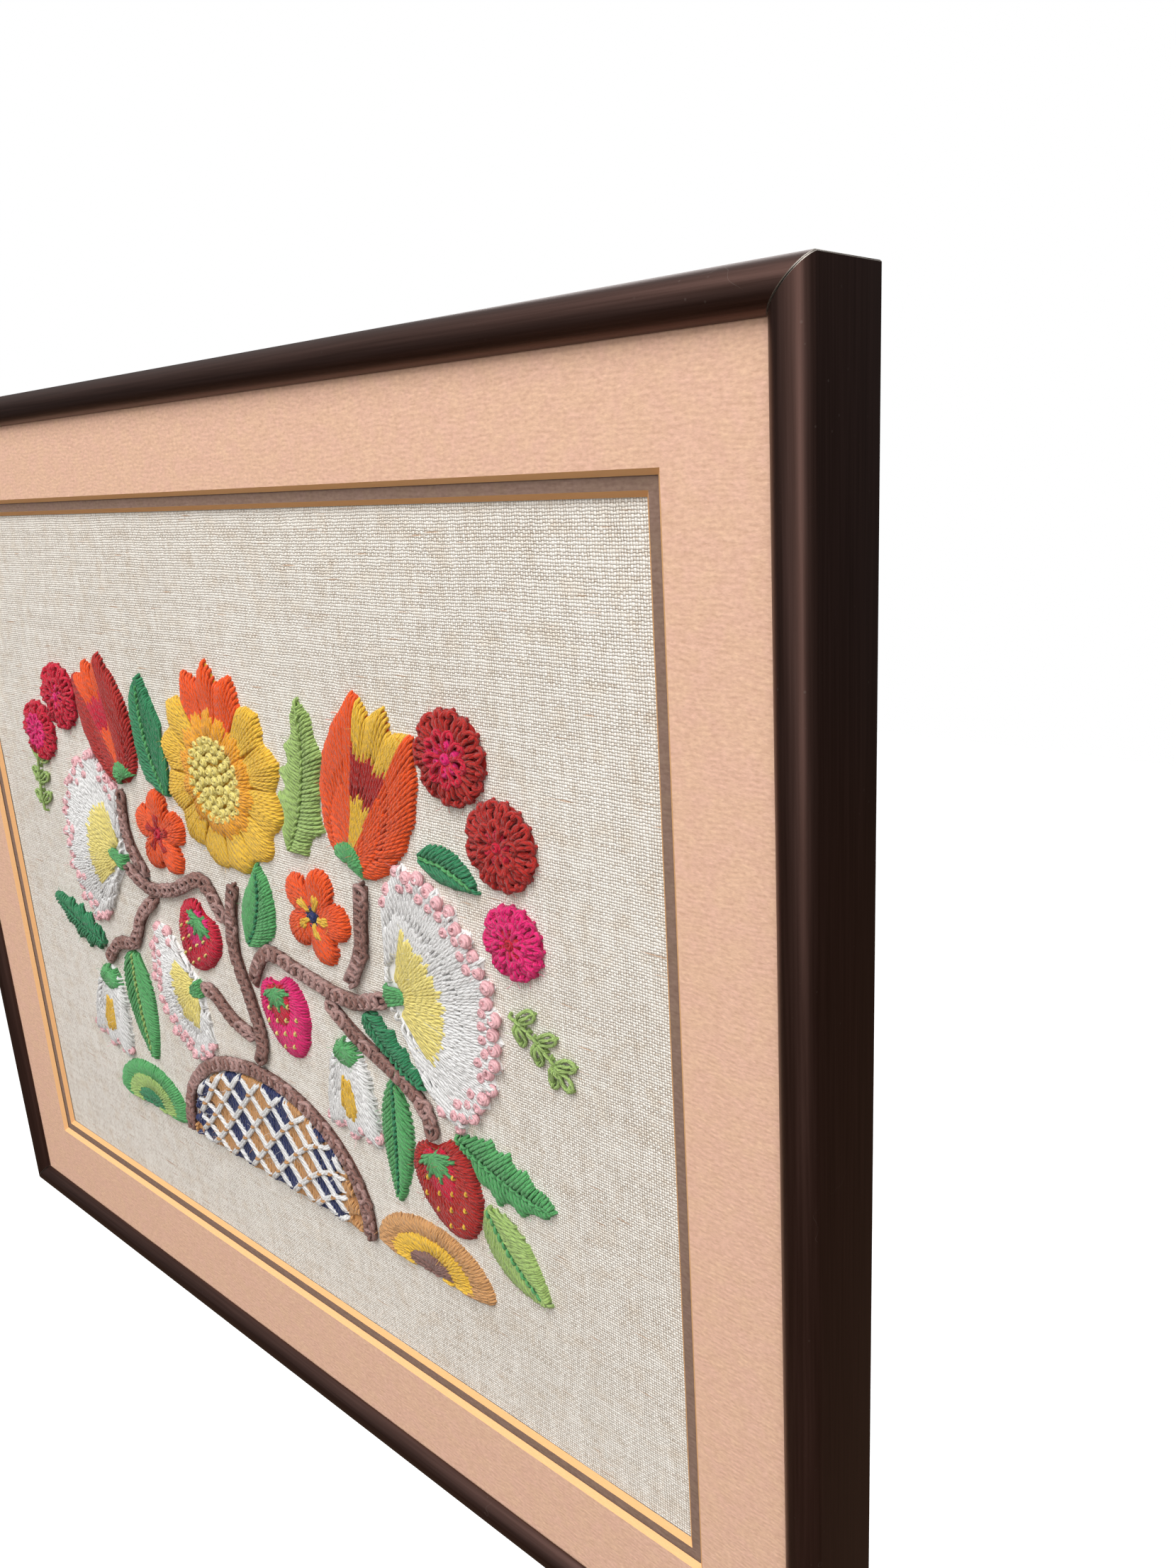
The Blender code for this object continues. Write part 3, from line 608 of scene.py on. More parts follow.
        # the solid's own form, lower, under the stitches, darkened with painted shade where it shows between
        # them
        mesh = bpy.data.meshes.new(self.node + "_padding")
        work = bmesh.new()
        work.from_mesh(nodes[self.node].data)
        bmesh.ops.remove_doubles(work, verts=work.verts[:], dist=1e-6)
        bmesh.ops.recalc_face_normals(work, faces=work.faces[:])
        work.normal_update()
        outward = [Vector((vert.normal.x, 0.0, vert.normal.z)) for vert in work.verts]
        for vert, way in zip(work.verts, outward):
            height = (linenFace - vert.co.y) / mm - design["solidBase"]
            if way.length > 0.35:
                vert.co -= way.normalized() * (stitch["paddingInset"] * mm)
            vert.co.y = linenFace - (height * stitch["padding"] - 0.05) * mm
        work.to_mesh(mesh)
        work.free()
        # painted shade: the padding's low shade value darkens it
        mesh.attributes.new("shade", "FLOAT", "POINT").data.foreach_set(
            "value", [stitch["paddingPaintedShade"]] * len(mesh.vertices))
        mesh.materials.clear()
        mesh.materials.append(woolMaterials[colour])
        return addObject(self.node + "_padding", mesh)

    def finish(self, slot, paddingColour=None):
        parts = [self.padding(paddingColour)] if paddingColour else []
        for colour, rows in self.strands.items():
            points, edges, thick, shade = [], [], [], []
            for line, width, tone in rows:
                first = len(points)
                points += line
                edges += [(first + i, first + i + 1) for i in range(len(line) - 1)]
                thick += [width] * len(line)
                shade += [tone] * len(line)
            parts.append(grow(self.node + "_" + colour, points, edges, {"thick": thick, "shade": shade},
                              yarnTree, {"Yarn Radius": yarn["radius"], "Sides": yarn["sides"],
                                         "Wool": woolMaterials[colour]}))
        for colour, rows in self.knots.items():
            points, size, spin, shade = zip(*rows)
            parts.append(grow(self.node + "_knots_" + colour, points, [],
                              {"size": size, "spin": spin, "shade": shade}, knotTree,
                              {"Yarn Radius": yarn["knotRadius"], "Sides": yarn["knotSides"],
                               "Wide": yarn["knotWide"], "Narrow": yarn["knotNarrow"],
                               "Rise": yarn["knotRise"], "Wool": woolMaterials[colour]}))
        piece = joinPieces(self.node + "_stitched", parts)
        return ridePiece(piece, slot, self.node)


# Flowers and fruit

flowers = {                 # kind, u and v of the middle, size, turn, slot, wools from the rim inwards
    "pomegranate": ("pomegranate", 0, 57, 37, 90, "wool_gold", "gold", "orange", "marigold", "paleYellow"),
    "tulip_right": ("tulip", 78, 62, 31, 66, "wool_orange", "orange", "gold", "rust"),
    "tulip_left": ("tulip", -74, 68, 27, 114, "wool_rust", "rust", "orange", "crimson"),
    "carnation_left": ("fan", -80, 14, 45, 158, "wool_white", "white", "paleYellow", "pink"),
    "carnation_right": ("fan", 82, 0, 47, 12, "wool_white", "white", "paleYellow", "pink"),
    "carnation_low": ("fan", -36, -30, 33, 206, "wool_white", "white", "paleYellow", "pink"),
    "rosehip_top": ("roundel", 117, 79, 14.0, 0, "wool_crimson", "rust", "crimson", "magenta"),
    "rosehip_mid": ("roundel", 134, 57, 13.0, 20, "wool_rust", "rust", "rust", "crimson"),
    "rosehip_low": ("roundel", 136, 30, 11.0, 10, "wool_magenta", "magenta", "magenta", "crimson"),
    "rosehip_left": ("roundel", -109, 76, 13.5, 0, "wool_crimson", "crimson", "crimson", "magenta"),
    "rosehip_far": ("roundel", -132, 60, 12.5, 0, "wool_magenta", "crimson", "magenta", "magenta"),
    "star_left": ("star", -46, 30, 17, 90, "wool_orange", "orange", "rust", "crimson"),
    "star_right": ("star", 46, 18, 17, 70, "wool_orange", "orange", "gold", "navy"),
    "bell_left": ("bell", -110, -56, 24, 256, "wool_white", "white", "gold", "pink"),
    "bell_right": ("bell", 54, -40, 22, 268, "wool_white", "white", "gold", "pink"),
    "strawberry_left": ("strawberry", -30, -7, 15.5, 238, "wool_crimson", "crimson", "magenta", "paleYellow"),
    "strawberry_mid": ("strawberry", 21, -24, 16, 285, "wool_magenta", "magenta", "crimson", "paleYellow"),
    "strawberry_right": ("strawberry", 99, -60, 18, 290, "wool_rust", "rust", "crimson", "gold"),
}


def workPomegranate(motif, middle, size, turn, wools):
    rim, crown, ring, tuft = wools
    dips = [0, 10, 33, 61, 90, 120, 150, 180]
    petals = [(-dips[1], dips[1])]
    for low, high in zip(dips[1:], dips[2:]):
        petals += [(low, high), (-high, -low)]
    for low, high in petals:
        centre = (low + high) / 2
        colour = crown if abs(centre) < 30 else rim
        count = max(5, round(math.radians(high - low) * size * 0.95 / 1.3))
        for i in range(count):
            outer = low + (high - low) * (i + 0.5) / count
            inner = centre + (outer - centre) * 0.72
            reach = motif.reach(middle, turn + outer)
            motif.satin(colour, middle + along(turn + inner, size * 0.46),
                        middle + along(turn + outer, reach), thick=1.12)
    motif.rays(ring, middle, (turn, turn + 359), (0.40, 0.63), lift=0.35, thick=1.25)
    for share, count in ((0.385, 24), (0.30, 18), (0.205, 12), (0.11, 6), (0.0, 1)):
        for k in range(count):
            spot = middle + along(360 * k / count + 60 * share, size * share)
            spot = spot + Vector((motif.dice.uniform(-0.4, 0.4), motif.dice.uniform(-0.4, 0.4)))
            motif.knot(tuft, spot, motif.dice.uniform(1.0, 1.25), 0.75)


def workTulip(motif, middle, size, turn, wools):
    outside, inside, foot = wools
    pole = middle - along(turn, 0.7 * size)
    for low, high in ((-112, -13), (13, 112)):
        motif.rays(outside, pole, (turn + low, turn + high), (0.50, 1.0), uneven=0.25)
        motif.rays(outside, pole, (turn + low, turn + high), (0.06, 0.56), uneven=0.35)
    motif.rays(inside, pole, (turn - 13, turn + 13), (0.66, 1.0), uneven=0.2)
    motif.rays(foot, pole, (turn - 13, turn + 13), (0.38, 0.72), uneven=0.3)
    motif.rays(inside, pole, (turn - 14, turn + 14), (0.05, 0.44), uneven=0.3)
    motif.rays("green", pole - along(turn, 0.06 * size), (turn - 100, turn + 100), (0.0, 1.0), lift=0.35,
               limit=0.24 * size)


def workFan(motif, middle, size, turn, wools):
    petal, heart, fringe = wools
    motif.rays(petal, middle, (turn - 84, turn + 84), (0.60, 0.97), uneven=0.2)
    motif.rays(petal, middle, (turn - 100, turn + 100), (0.30, 0.66), uneven=0.3)
    motif.rays(heart, middle, (turn - 60, turn + 60), (0.12, 0.54), lift=0.3, thick=1.1, uneven=0.3)
    arc = math.radians(144) * size * 0.93
    count = round(arc / 4.6)
    for i in range(count + 1):
        angle = turn - 74 + 148 * i / count
        reach = motif.reach(middle, angle)
        motif.knot(fringe, middle + along(angle, reach - 1.5), motif.dice.uniform(1.25, 1.5), 0.5)
        if motif.dice.random() < 0.55:
            motif.knot(fringe, middle + along(angle + 2.4, reach - 5.6), motif.dice.uniform(1.05, 1.3), 0.9)
    for offset in range(-3, 4):
        side = along(turn + 90, offset * 1.1)
        motif.satin("green", middle + side - along(turn, 0.1 * size),
                    middle + side * 0.5 + along(turn, (0.17 - 0.012 * abs(offset)) * size), lift=0.5)


def workRoundel(motif, middle, size, turn, wools):
    rim, inside, heart = wools
    lobes = 16
    for k in range(lobes):
        angle = turn + 360 * (k + 0.5) / lobes
        reach = motif.reach(middle, angle)
        motif.loop(rim, middle + along(angle, 0.46 * reach), angle, 0.54 * reach, size * 0.36,
                   lift=0.15 * (k % 2), thick=1.25)
        motif.satin(rim, middle + along(angle, 0.5 * reach), middle + along(angle, 0.86 * reach), 0.35, 1.15)
    for k in range(9):
        angle = turn + 360 * (k + 0.5) / 9 + 9
        motif.loop(inside, middle + along(angle, 0.12 * size), angle, 0.46 * size, size * 0.28, lift=0.6,
                   thick=1.2)
    motif.knot(heart, middle, 1.25, 0.9)
    for k in range(6):
        motif.knot(heart, middle + along(60 * k + 20, 0.27 * size), motif.dice.uniform(1.0, 1.2), 0.7)


def workStar(motif, middle, size, turn, wools):
    petal, throat, heart = wools
    for k in range(5):
        angle = turn + 72 * k
        motif.rays(petal, middle, (angle - 32, angle + 32), (0.16, 1.0), thick=1.05, uneven=0.2)
        motif.rays(throat, middle, (angle - 13, angle + 13), (0.12, 0.5), lift=0.45, thick=0.9, uneven=0.4)
    motif.knot(heart, middle, 1.35, 0.7)
    for k in range(5):
        motif.knot(heart, middle + along(turn + 72 * k + 36, 3.0), 0.8, 0.3)


def workBell(motif, middle, size, turn, wools):
    petal, stripe, fringe = wools
    pole = middle - along(turn, 0.68 * size)
    motif.rays(petal, pole, (turn - 80, turn + 80), (0.52, 1.0), uneven=0.2)
    motif.rays(petal, pole, (turn - 100, turn + 100), (0.10, 0.58), uneven=0.3)
    motif.rays(stripe, pole, (turn - 9, turn + 9), (0.34, 0.80), lift=0.4, uneven=0.3)
    motif.rays("green", pole, (turn - 130, turn + 130), (0.0, 1.0), lift=0.5, limit=0.34 * size)
    for i in range(7):
        angle = turn - 22 + 44 * i / 6
        motif.knot(fringe, pole + along(angle, motif.reach(pole, angle) - 1.4),
                   motif.dice.uniform(1.15, 1.35), 0.5)


def workStrawberry(motif, middle, size, turn, wools):
    skin, shade, seed = wools
    pole = middle - along(turn, 0.6 * size)
    motif.rays(skin, pole, (turn - 125, turn + 125), (0.48, 1.0), uneven=0.25)
    motif.rays(shade, pole, (turn - 125, turn + 125), (0.05, 0.54), uneven=0.3)
    for row in range(4):
        across = (2, 3, 4, 3)[row]
        for k in range(across):
            spot = middle + along(turn, size * (0.62 - 0.3 * row))
            spot = spot + along(turn + 90, size * 0.36 * (k - (across - 1) / 2))
            motif.satin(seed, spot, spot + along(turn, 2.2), lift=0.8, thick=0.7, ragged=0.2)
    for k in range(-2, 3):
        leaf = turn + 38 * k
        for aside in (-10, 0, 10):
            motif.satin("green", pole - along(leaf, 0.05 * size),
                        pole + along(leaf + aside, size * (0.52 - 0.012 * abs(aside))), lift=0.7)


flowerWork = {
    "pomegranate": workPomegranate, "tulip": workTulip, "fan": workFan, "roundel": workRoundel,
    "star": workStar, "bell": workBell, "strawberry": workStrawberry,
}

for name, (kind, u, v, size, turn, slot, *wools) in flowers.items():
    motif = Motif(name)
    flowerWork[kind](motif, Vector((u, v)), size, turn, wools)
    motif.finish(slot, wools[0])
print("flowers worked:", len(flowers))


# Stems: chain stitch in two browns

stems = {
    "stem_trunk": [(-2, -52), (4, -40), (0, -24), (-6, -8), (-5, 6), (-1, 19)],
    "stem_right": [(0, -22), (14, -3), (34, -5), (58, -8), (74, -4), (82, 0)],
    "stem_right_top": [(60, -2), (68, 10), (70, 22), (72, 34)],
    "stem_right_low": [(38, -6), (60, -20), (80, -28), (92, -36), (94, -46)],
    "stem_left": [(-6, -6), (-20, 16), (-42, 9), (-62, 6), (-80, 14)],
    "stem_left_top": [(-60, 8), (-72, 24), (-72, 42)],
    "stem_left_low": [(2, -40), (-14, -36), (-26, -28), (-36, -30)],
    "stem_bell": [(-58, 2), (-71, -8), (-80, -21), (-94, -25), (-105, -34)],
}

chain = {
    "spacing": 3.6,
    "length": 6.9,
    "width": 4.7,
    "thick": 1.32,
}

hillock = {
    "left": -54.0,
    "right": 52.0,
    "foot": -97.0,
    "side": 4.0,
    "rise": 36.0,
    "columns": 16,
    "rows": 6,
    "edgeReach": 3.4,
    "couchHeight": 2.65,    # of the white lines where they cross, and a little less between
    "couchSag": 0.2,
    "couchOver": 0.25,
}


def smoothRoute(points, spacing):
    # a smooth curve through the points, read at an even spacing
    ends = [Vector(p) for p in [points[0]] + points + [points[-1]]]
    fine = []
    for p, q, r, s in zip(ends, ends[1:], ends[2:], ends[3:]):
        for k in range(40):
            t = k / 40
            fine.append(0.5 * (2 * q + (r - p) * t + (2 * p - 5 * q + 4 * r - s) * t ** 2
                               + (3 * q - p - 3 * r + s) * t ** 3))
    fine.append(ends[-1])
    route, run = [fine[0]], 0.0
    for a, b in zip(fine, fine[1:]):
        run += (b - a).length
        if run >= spacing:
            route.append(b)
            run -= spacing
    return route


def hillockEdge():
    middle = (hillock["left"] + hillock["right"]) / 2
    half = (hillock["right"] - hillock["left"]) / 2 + hillock["edgeReach"]
    route = [(middle - half, hillock["foot"])]
    for step in range(25):
        angle = math.pi * (1 - step / 24)
        route.append((middle + half * math.cos(angle), hillock["foot"] + hillock["side"]
                      + (hillock["rise"] + hillock["edgeReach"]) * math.sin(angle)))
    return route + [(middle + half, hillock["foot"])]


def headingOf(a, b):
    return math.degrees(math.atan2(b.y - a.y, b.x - a.x))


def workChain(motif, points):
    route = [spot for spot in smoothRoute(points, chain["spacing"]) if motif.heightAt(spot) is not None]
    for number, (spot, ahead) in enumerate(zip(route, route[1:] + [None])):
        if ahead is None:
            break
        colour = "brown" if motif.dice.random() < 0.62 else "mauveBrown"
        heading = headingOf(spot, ahead) + motif.dice.uniform(-3, 3)
        motif.loop(colour, spot - along(heading, 0.8), heading, chain["length"],
                   chain["width"] * motif.dice.uniform(0.92, 1.05), thick=chain["thick"], tie=False,
                   lift=0.3 + 0.12 * (number % 2))
    last = route[-1]
    heading = headingOf(route[-2], last)
    motif.satin("brown", last + along(heading, 0.6), last + along(heading, 3.2), 0.5, 1.0, 0.2, True)


for name, points in stems.items():
    motif = Motif(name)
    workChain(motif, points)
    motif.finish("wool_brown", "brown")
motif = Motif("hillock_edge")
workChain(motif, hillockEdge())
motif.finish("wool_brown", "brown")
print("stems worked:", len(stems))


# Leaves: satin stitches from the midrib out to the edge

leaves = {                  # u and v of the foot, length, turn at the foot, bend, lobed, wool, midrib
    "leaf_crown_left": (-36, 46, 46, 128, -54, False, "deepGreen", "green"),
    "leaf_crown_right": (36, 38, 54, 52, 46, True, "lime", "lime"),
    "leaf_left_low": (-107, -28, 42, 172, -24, True, "deepGreen", "deepGreen"),
    "leaf_bell": (-84, -24, 50, 262, 26, False, "green", "lime"),
    "leaf_mid_right": (4, -2, 34, 48, 44, False, "green", "deepGreen"),
    "leaf_right_mid": (66, -9, 34, -62, 50, True, "deepGreen", "deepGreen"),
    "leaf_right_foot": (77, -30, 46, 266, 0, False, "green", "deepGreen"),
    "leaf_right_far": (104, -40, 42, -30, 30, True, "green", "green"),
    "leaf_right_end": (116, -60, 34, -66, 40, False, "lime", "green"),
    "leaf_top_right": (100, 48, 24, 0, -30, False, "deepGreen", "green"),
}
leafSlots = {"deepGreen": "wool_deep_green", "green": "wool_green", "lime": "wool_lime"}

sprigs = {                  # u and v of the foot, length, turn at the foot, bend, width
    "sprig_left": (-140, 24, 28, 96, -30, 16),
    "sprig_right": (132, 8, 24, -20, -30, 15),
}


def leafRoute(u, v, length, turn, bend, steps=80):
    route = [Vector((u, v))]
    for i in range(steps):
        route.append(route[-1] + along(turn + bend * (i + 0.5) / steps, length / steps))
    return route


def workLeaf(motif, u, v, length, turn, bend, lobed, colour, rib):
    slant = 58 if lobed else 40
    before = 14.0           # stitches that start behind the foot fill its corners
    route = leafRoute(u, v, length, turn, bend)
    back = [route[0] - along(turn, before * (1 - i / 20)) for i in range(20)]
    whole = back + route
    run, since = 0.0, 99.0
    for a, b in zip(whole, whole[1:]):
        run += (b - a).length
        since += (b - a).length
        if since < stitch["gap"] * 1.12:
            continue
        since = 0.0
        heading = headingOf(a, b)
        for side in (-1, 1):
            start = a + along(heading + side * 90, 0.15)
            reach = 0.75 * length
            motif.satin(colour, start, start + along(heading + side * slant, reach))
    inside = [spot for spot in route if motif.heightAt(spot) is not None]
    motif.satin(colour, inside[-14], inside[-1] + along(turn + bend, 0.6), 0.2, free=True)
    beat = 0.0
    for a, b in zip(inside[:-6], inside[1:]):
        beat += (b - a).length
        if beat > 2.2:
            beat = 0.0
            heading = headingOf(a, b)
            motif.satin(rib, a - along(heading - 16, 1.5), a + along(heading - 16, 1.6), 0.75, 0.85, 0.2,
                        free=True)


def workSprig(motif, u, v, length, turn, bend, width):
    route = leafRoute(u, v, length, turn, bend)
    steps = len(route) - 1
    for k in range(9):
        a, b = route[round(steps * k / 10)], route[round(steps * min(10, k + 1.5) / 10)]
        motif.satin("lime", a, b, 0.5, 0.85, 0.2, free=True)
    for share in (1 / 6, 3 / 6, 5 / 6):
        at = round(steps * share) - 3
        heading = headingOf(route[at], route[at + 1])
        for side in (-1, 1):
            turned = heading + side * 52
            motif.loop("lime", route[at] + along(turned, 0.5), turned, width * 0.47, width * 0.24, lift=0.2)
            motif.satin("lime", route[at] + along(turned, 1.6), route[at] + along(turned, width * 0.40),
                        0.3, 0.8, 0.2, free=True)
    heading = headingOf(route[-2], route[-1])
    motif.loop("lime", route[-8], heading, width * 0.40, width * 0.24, lift=0.4)


for name, (u, v, length, turn, bend, lobed, colour, rib) in leaves.items():
    motif = Motif(name)
    workLeaf(motif, u, v, length, turn, bend, lobed, colour, rib)
    motif.finish(leafSlots[colour], colour)
for name, (u, v, length, turn, bend, width) in sprigs.items():
    motif = Motif(name)
    workSprig(motif, u, v, length, turn, bend, width)
    motif.finish("wool_lime")
print("leaves worked:", len(leaves) + len(sprigs))


# Hillocks

mounds = {                  # u of the middle, v of the foot, rise, slot, wools from the rim inwards
    "hillock_left": (-88, -98, 18, "wool_green", "green", "lime", "deepGreen"),
    "hillock_right": (87, -98, 17, "wool_tan", "tan", "gold", "brown"),
}


def workMound(motif, u, v, rise, outer, middle, inner):
    pole = Vector((u, v + 0.14 * rise))
    motif.rays(outer, pole, (-14, 194), (0.66, 1.0), uneven=0.15)
    motif.rays(middle, pole, (-10, 190), (0.34, 0.72), uneven=0.25)
    motif.rays(inner, pole, (-30, 210), (0.0, 0.40), uneven=0.3)


def trellisPoint(i, k):
    width = hillock["right"] - hillock["left"]
    u = hillock["left"] + width * i / hillock["columns"]
    share = 2 * i / hillock["columns"] - 1
    top = hillock["side"] + hillock["rise"] * math.sqrt(max(0.0, 1 - share ** 2))
    return Vector((u, hillock["foot"] + top * k / hillock["rows"]))


def workTrellis(motif):
    columns, rows = hillock["columns"], hillock["rows"]
    for i in range(columns + 1):
        for k in range(rows + 1):
            if (i + k) % 2 == 0:
                continue
            colour = "navy" if i % 4 in (1, 2) else "tan"
            left, right = trellisPoint(max(0, i - 1), k), trellisPoint(min(columns, i + 1), k)
            low, high = trellisPoint(i, max(0, k - 1)), trellisPoint(i, min(rows, k + 1))
            middle = trellisPoint(i, k)
            count = max(2, round((right.x - left.x) / 1.25))
            for n in range(count):
                share = (n + 0.5) / count
                u = left.x + (right.x - left.x) * share
                near = 1 - abs(u - middle.x) / max(0.1, (right.x - left.x) / 2)
                bottom = blendOf(middle.y, low.y, near)
                top = blendOf(middle.y, high.y, near)
                motif.satin(colour, Vector((u, bottom)), Vector((u, top)), -0.1, 1.0, 0.3)
    for i in range(-rows, columns + 1):
        for rise in (1, -1):
            first = [(i + n, n if rise == 1 else rows - n) for n in range(rows + 1)]
            spots = [trellisPoint(a, b) for a, b in first if 0 < a < columns]
            if (i + (0 if rise == 1 else rows)) % 2 or len(spots) < 2:
                continue
            for aside in (-0.65, 0.65):
                line = []
                for a, b in zip(spots, spots[1:] + [None]):
                    for share in ((0.0, 0.33, 0.67) if b is not None else (0.0,)):
                        spot = a if b is None else blendOf(a, b, share)
                        height = hillock["couchHeight"] - (0.0 if share == 0.0 else hillock["couchSag"])
                        height += hillock["couchOver"] if rise == 1 else 0.0
                        line.append(onCloth(spot.x + aside, spot.y, height))
                line[0].y = linenFace - stitch["dive"] * mm
                line[-1].y = linenFace - stitch["dive"] * mm
                motif.strand("white", line, 1.1)
    for i in range(2, columns - 1):
        for k in range(1, rows):
            if (i + k) % 2 == 0:
                spot = trellisPoint(i, k)
                motif.satin("tan", spot - Vector((1.5, 0)), spot + Vector((1.5, 0)), 1.75, 0.75, 0.2, True)


for name, (u, v, rise, slot, *wools) in mounds.items():
    motif = Motif(name)
    workMound(motif, u, v, rise, *wools)
    motif.finish(slot, wools[0])
motif = Motif("hillock_trellis")
workTrellis(motif)
motif.finish("wool_trellis", "tan")
print("hillocks worked")


# Linen: one stretched sheet of plain weave

linen = {
    "flat": (0.4376, 0.3586),
    "thickness": 1.0 * mm,
    "columns": 110,
    "rows": 90,
    "ripple": 0.06 * mm,
    "pitch": 0.83 * mm,
    "light": (255, 251, 243),
    # shade: the colour of the painted shade in the weave's gaps and on the weft floats, and of the darker
    # threads
    "shade": (168, 145, 119),
    "stain": (226, 202, 170),
    "fleck": (190, 142, 98),
    "roughness": 0.82,
    "sheen": 0.12,
    "weaveDepth": 0.32 * mm,
}


def buildPlainWeave():
    tree, given, out = newGroup(
        "plainWeave", "ShaderNodeTree",
        [("Pitch", "NodeSocketFloat", 0.00083)],
        [("Height", "NodeSocketFloat"), ("Gap Shade", "NodeSocketFloat"), ("Under Shade", "NodeSocketFloat"),
         ("Thread", "NodeSocketFloat"), ("Grain", "NodeSocketFloat")])
    spot = objectSpace(tree)
    for scale, reach in ((25.0, 0.0012), (480.0, 0.0006)):      # a slow drift, then uneven threads
        drift = noise(tree, spot, scale, 1.0, "Color")
        drift = calcVector(tree, "SUBTRACT", drift, (0.5, 0.5, 0.5))
        spot = calcVector(tree, "MULTIPLY_ADD", drift, (reach, 0.0, reach), spot)
    across, _, up = [calc(tree, "DIVIDE", part, given.outputs["Pitch"]) for part in separate(tree, spot)]
    rows = {}
    for label, mine, other in (("warp", across, up), ("weft", up, across)):
        number = calc(tree, "FLOOR", mine)
        inside = calc(tree, "SUBTRACT", calc(tree, "SUBTRACT", mine, number), 0.5)
        crossing = calc(tree, "SUBTRACT", calc(tree, "SUBTRACT", other, calc(tree, "FLOOR", other)), 0.5)
        tone = whiteNoise(tree, combine(tree, number, 3.0 if label == "warp" else 8.0))
        slubSpot = combine(tree, calc(tree, "MULTIPLY", other, 0.06), calc(tree, "MULTIPLY", number, 7.3),
                           0.0 if label == "warp" else 5.0)
        slub = noise(tree, slubSpot, 1.0, 1.0)
        width = remap(tree, slub, 0.35, 0.75, 0.34, 0.56)
        share = calc(tree, "DIVIDE", calc(tree, "ABSOLUTE", inside), width)
        left = calc(tree, "SUBTRACT", 1.0, calc(tree, "MULTIPLY", share, share))
        body = calc(tree, "SQRT", calc(tree, "MAXIMUM", left, 0.0))
        arch = calc(tree, "COSINE", calc(tree, "MULTIPLY", crossing, math.pi))
        rows[label] = (number, body, arch, calc(tree, "ADD", tone, slub))
    total = calc(tree, "ADD", rows["warp"][0], rows["weft"][0])
    sign = calc(tree, "MULTIPLY_ADD", calc(tree, "FLOORED_MODULO", total, 2.0), 2.0, -1.0)
    tops = []
    for label, swing in (("warp", 0.48), ("weft", -0.48)):      # one is over where the other is under
        _, body, arch, _ = rows[label]
        bowed = calc(tree, "MULTIPLY_ADD", calc(tree, "MULTIPLY", arch, sign), swing, 0.52)
        tops.append(calc(tree, "MULTIPLY", body, bowed))
    warpTop, weftTop = tops
    height = calc(tree, "MAXIMUM", warpTop, weftTop)
    over = calc(tree, "GREATER_THAN", warpTop, weftTop)
    # painted shade: Under Shade marks the cells where the weft lies on top, darkened for how the light
    # catches them
    under = remap(tree, calc(tree, "SUBTRACT", warpTop, weftTop), -0.25, 0.25, 1.0, 0.0)
    thread = place(tree, "ShaderNodeMix", {0: over, 2: rows["weft"][3], 3: rows["warp"][3]})
    # painted shade: Gap Shade is high low down between the threads, where the material darkens the weave
    giveOut(tree, out, {"Height": height, "Gap Shade": remap(tree, height, 0.20, 0.74, 1.0, 0.0), "Under Shade": under,
                        "Thread": calc(tree, "MULTIPLY", thread.outputs[0], 0.5),
                        "Grain": whiteNoise(tree, combine(tree, rows["warp"][0], rows["weft"][0]))})


def linenMaterial():
    material, tree, shader = newMaterial("linen_weave", roughness=linen["roughness"], specular=0.3)
    weave = useGroup(tree, "plainWeave", {"Pitch": linen["pitch"]})
    light, shade, stain, fleck = [linear(*linen[name]) for name in ("light", "shade", "stain", "fleck")]
    spot = objectSpace(tree)
    # tone: painted shade in the gaps and on the weft floats, with each thread's own tone, a grain per
    # crossing and slow mottling
    tone = calc(tree, "MULTIPLY_ADD", weave.outputs["Gap Shade"], 0.74,
                calc(tree, "MULTIPLY", calc(tree, "SUBTRACT", 0.42, weave.outputs["Thread"]), 0.42))
    tone = calc(tree, "MULTIPLY_ADD", weave.outputs["Under Shade"], 0.32, tone)
    tone = calc(tree, "MULTIPLY_ADD", calc(tree, "SUBTRACT", weave.outputs["Grain"], 1.10), 0.36, tone)
    tone = calc(tree, "ADD", tone, remap(tree, noise(tree, spot, 9.0, 3.0), 0.35, 0.65, -0.05, 0.07))
    stained = remap(tree, noise(tree, spot, 160.0, 3.0), 0.50, 0.70, 0.0, 0.25)
    base = mixColour(tree, stained, mixColour(tree, tone, light, shade), mixColour(tree, tone, stain, shade))
    streak = noise(tree, calcVector(tree, "MULTIPLY", spot, (70.0, 0.0, 1100.0)), 1.0, 1.0)
    flecked = calc(tree, "MULTIPLY", remap(tree, streak, 0.69, 0.76), 0.7)
    tree.links.new(mixColour(tree, flecked, base, fleck), shader.inputs["Base Color"])
    shader.inputs["Sheen Weight"].default_value = linen["sheen"]
    addBump(tree, shader, weave.outputs["Height"], linen["weaveDepth"])
    return material


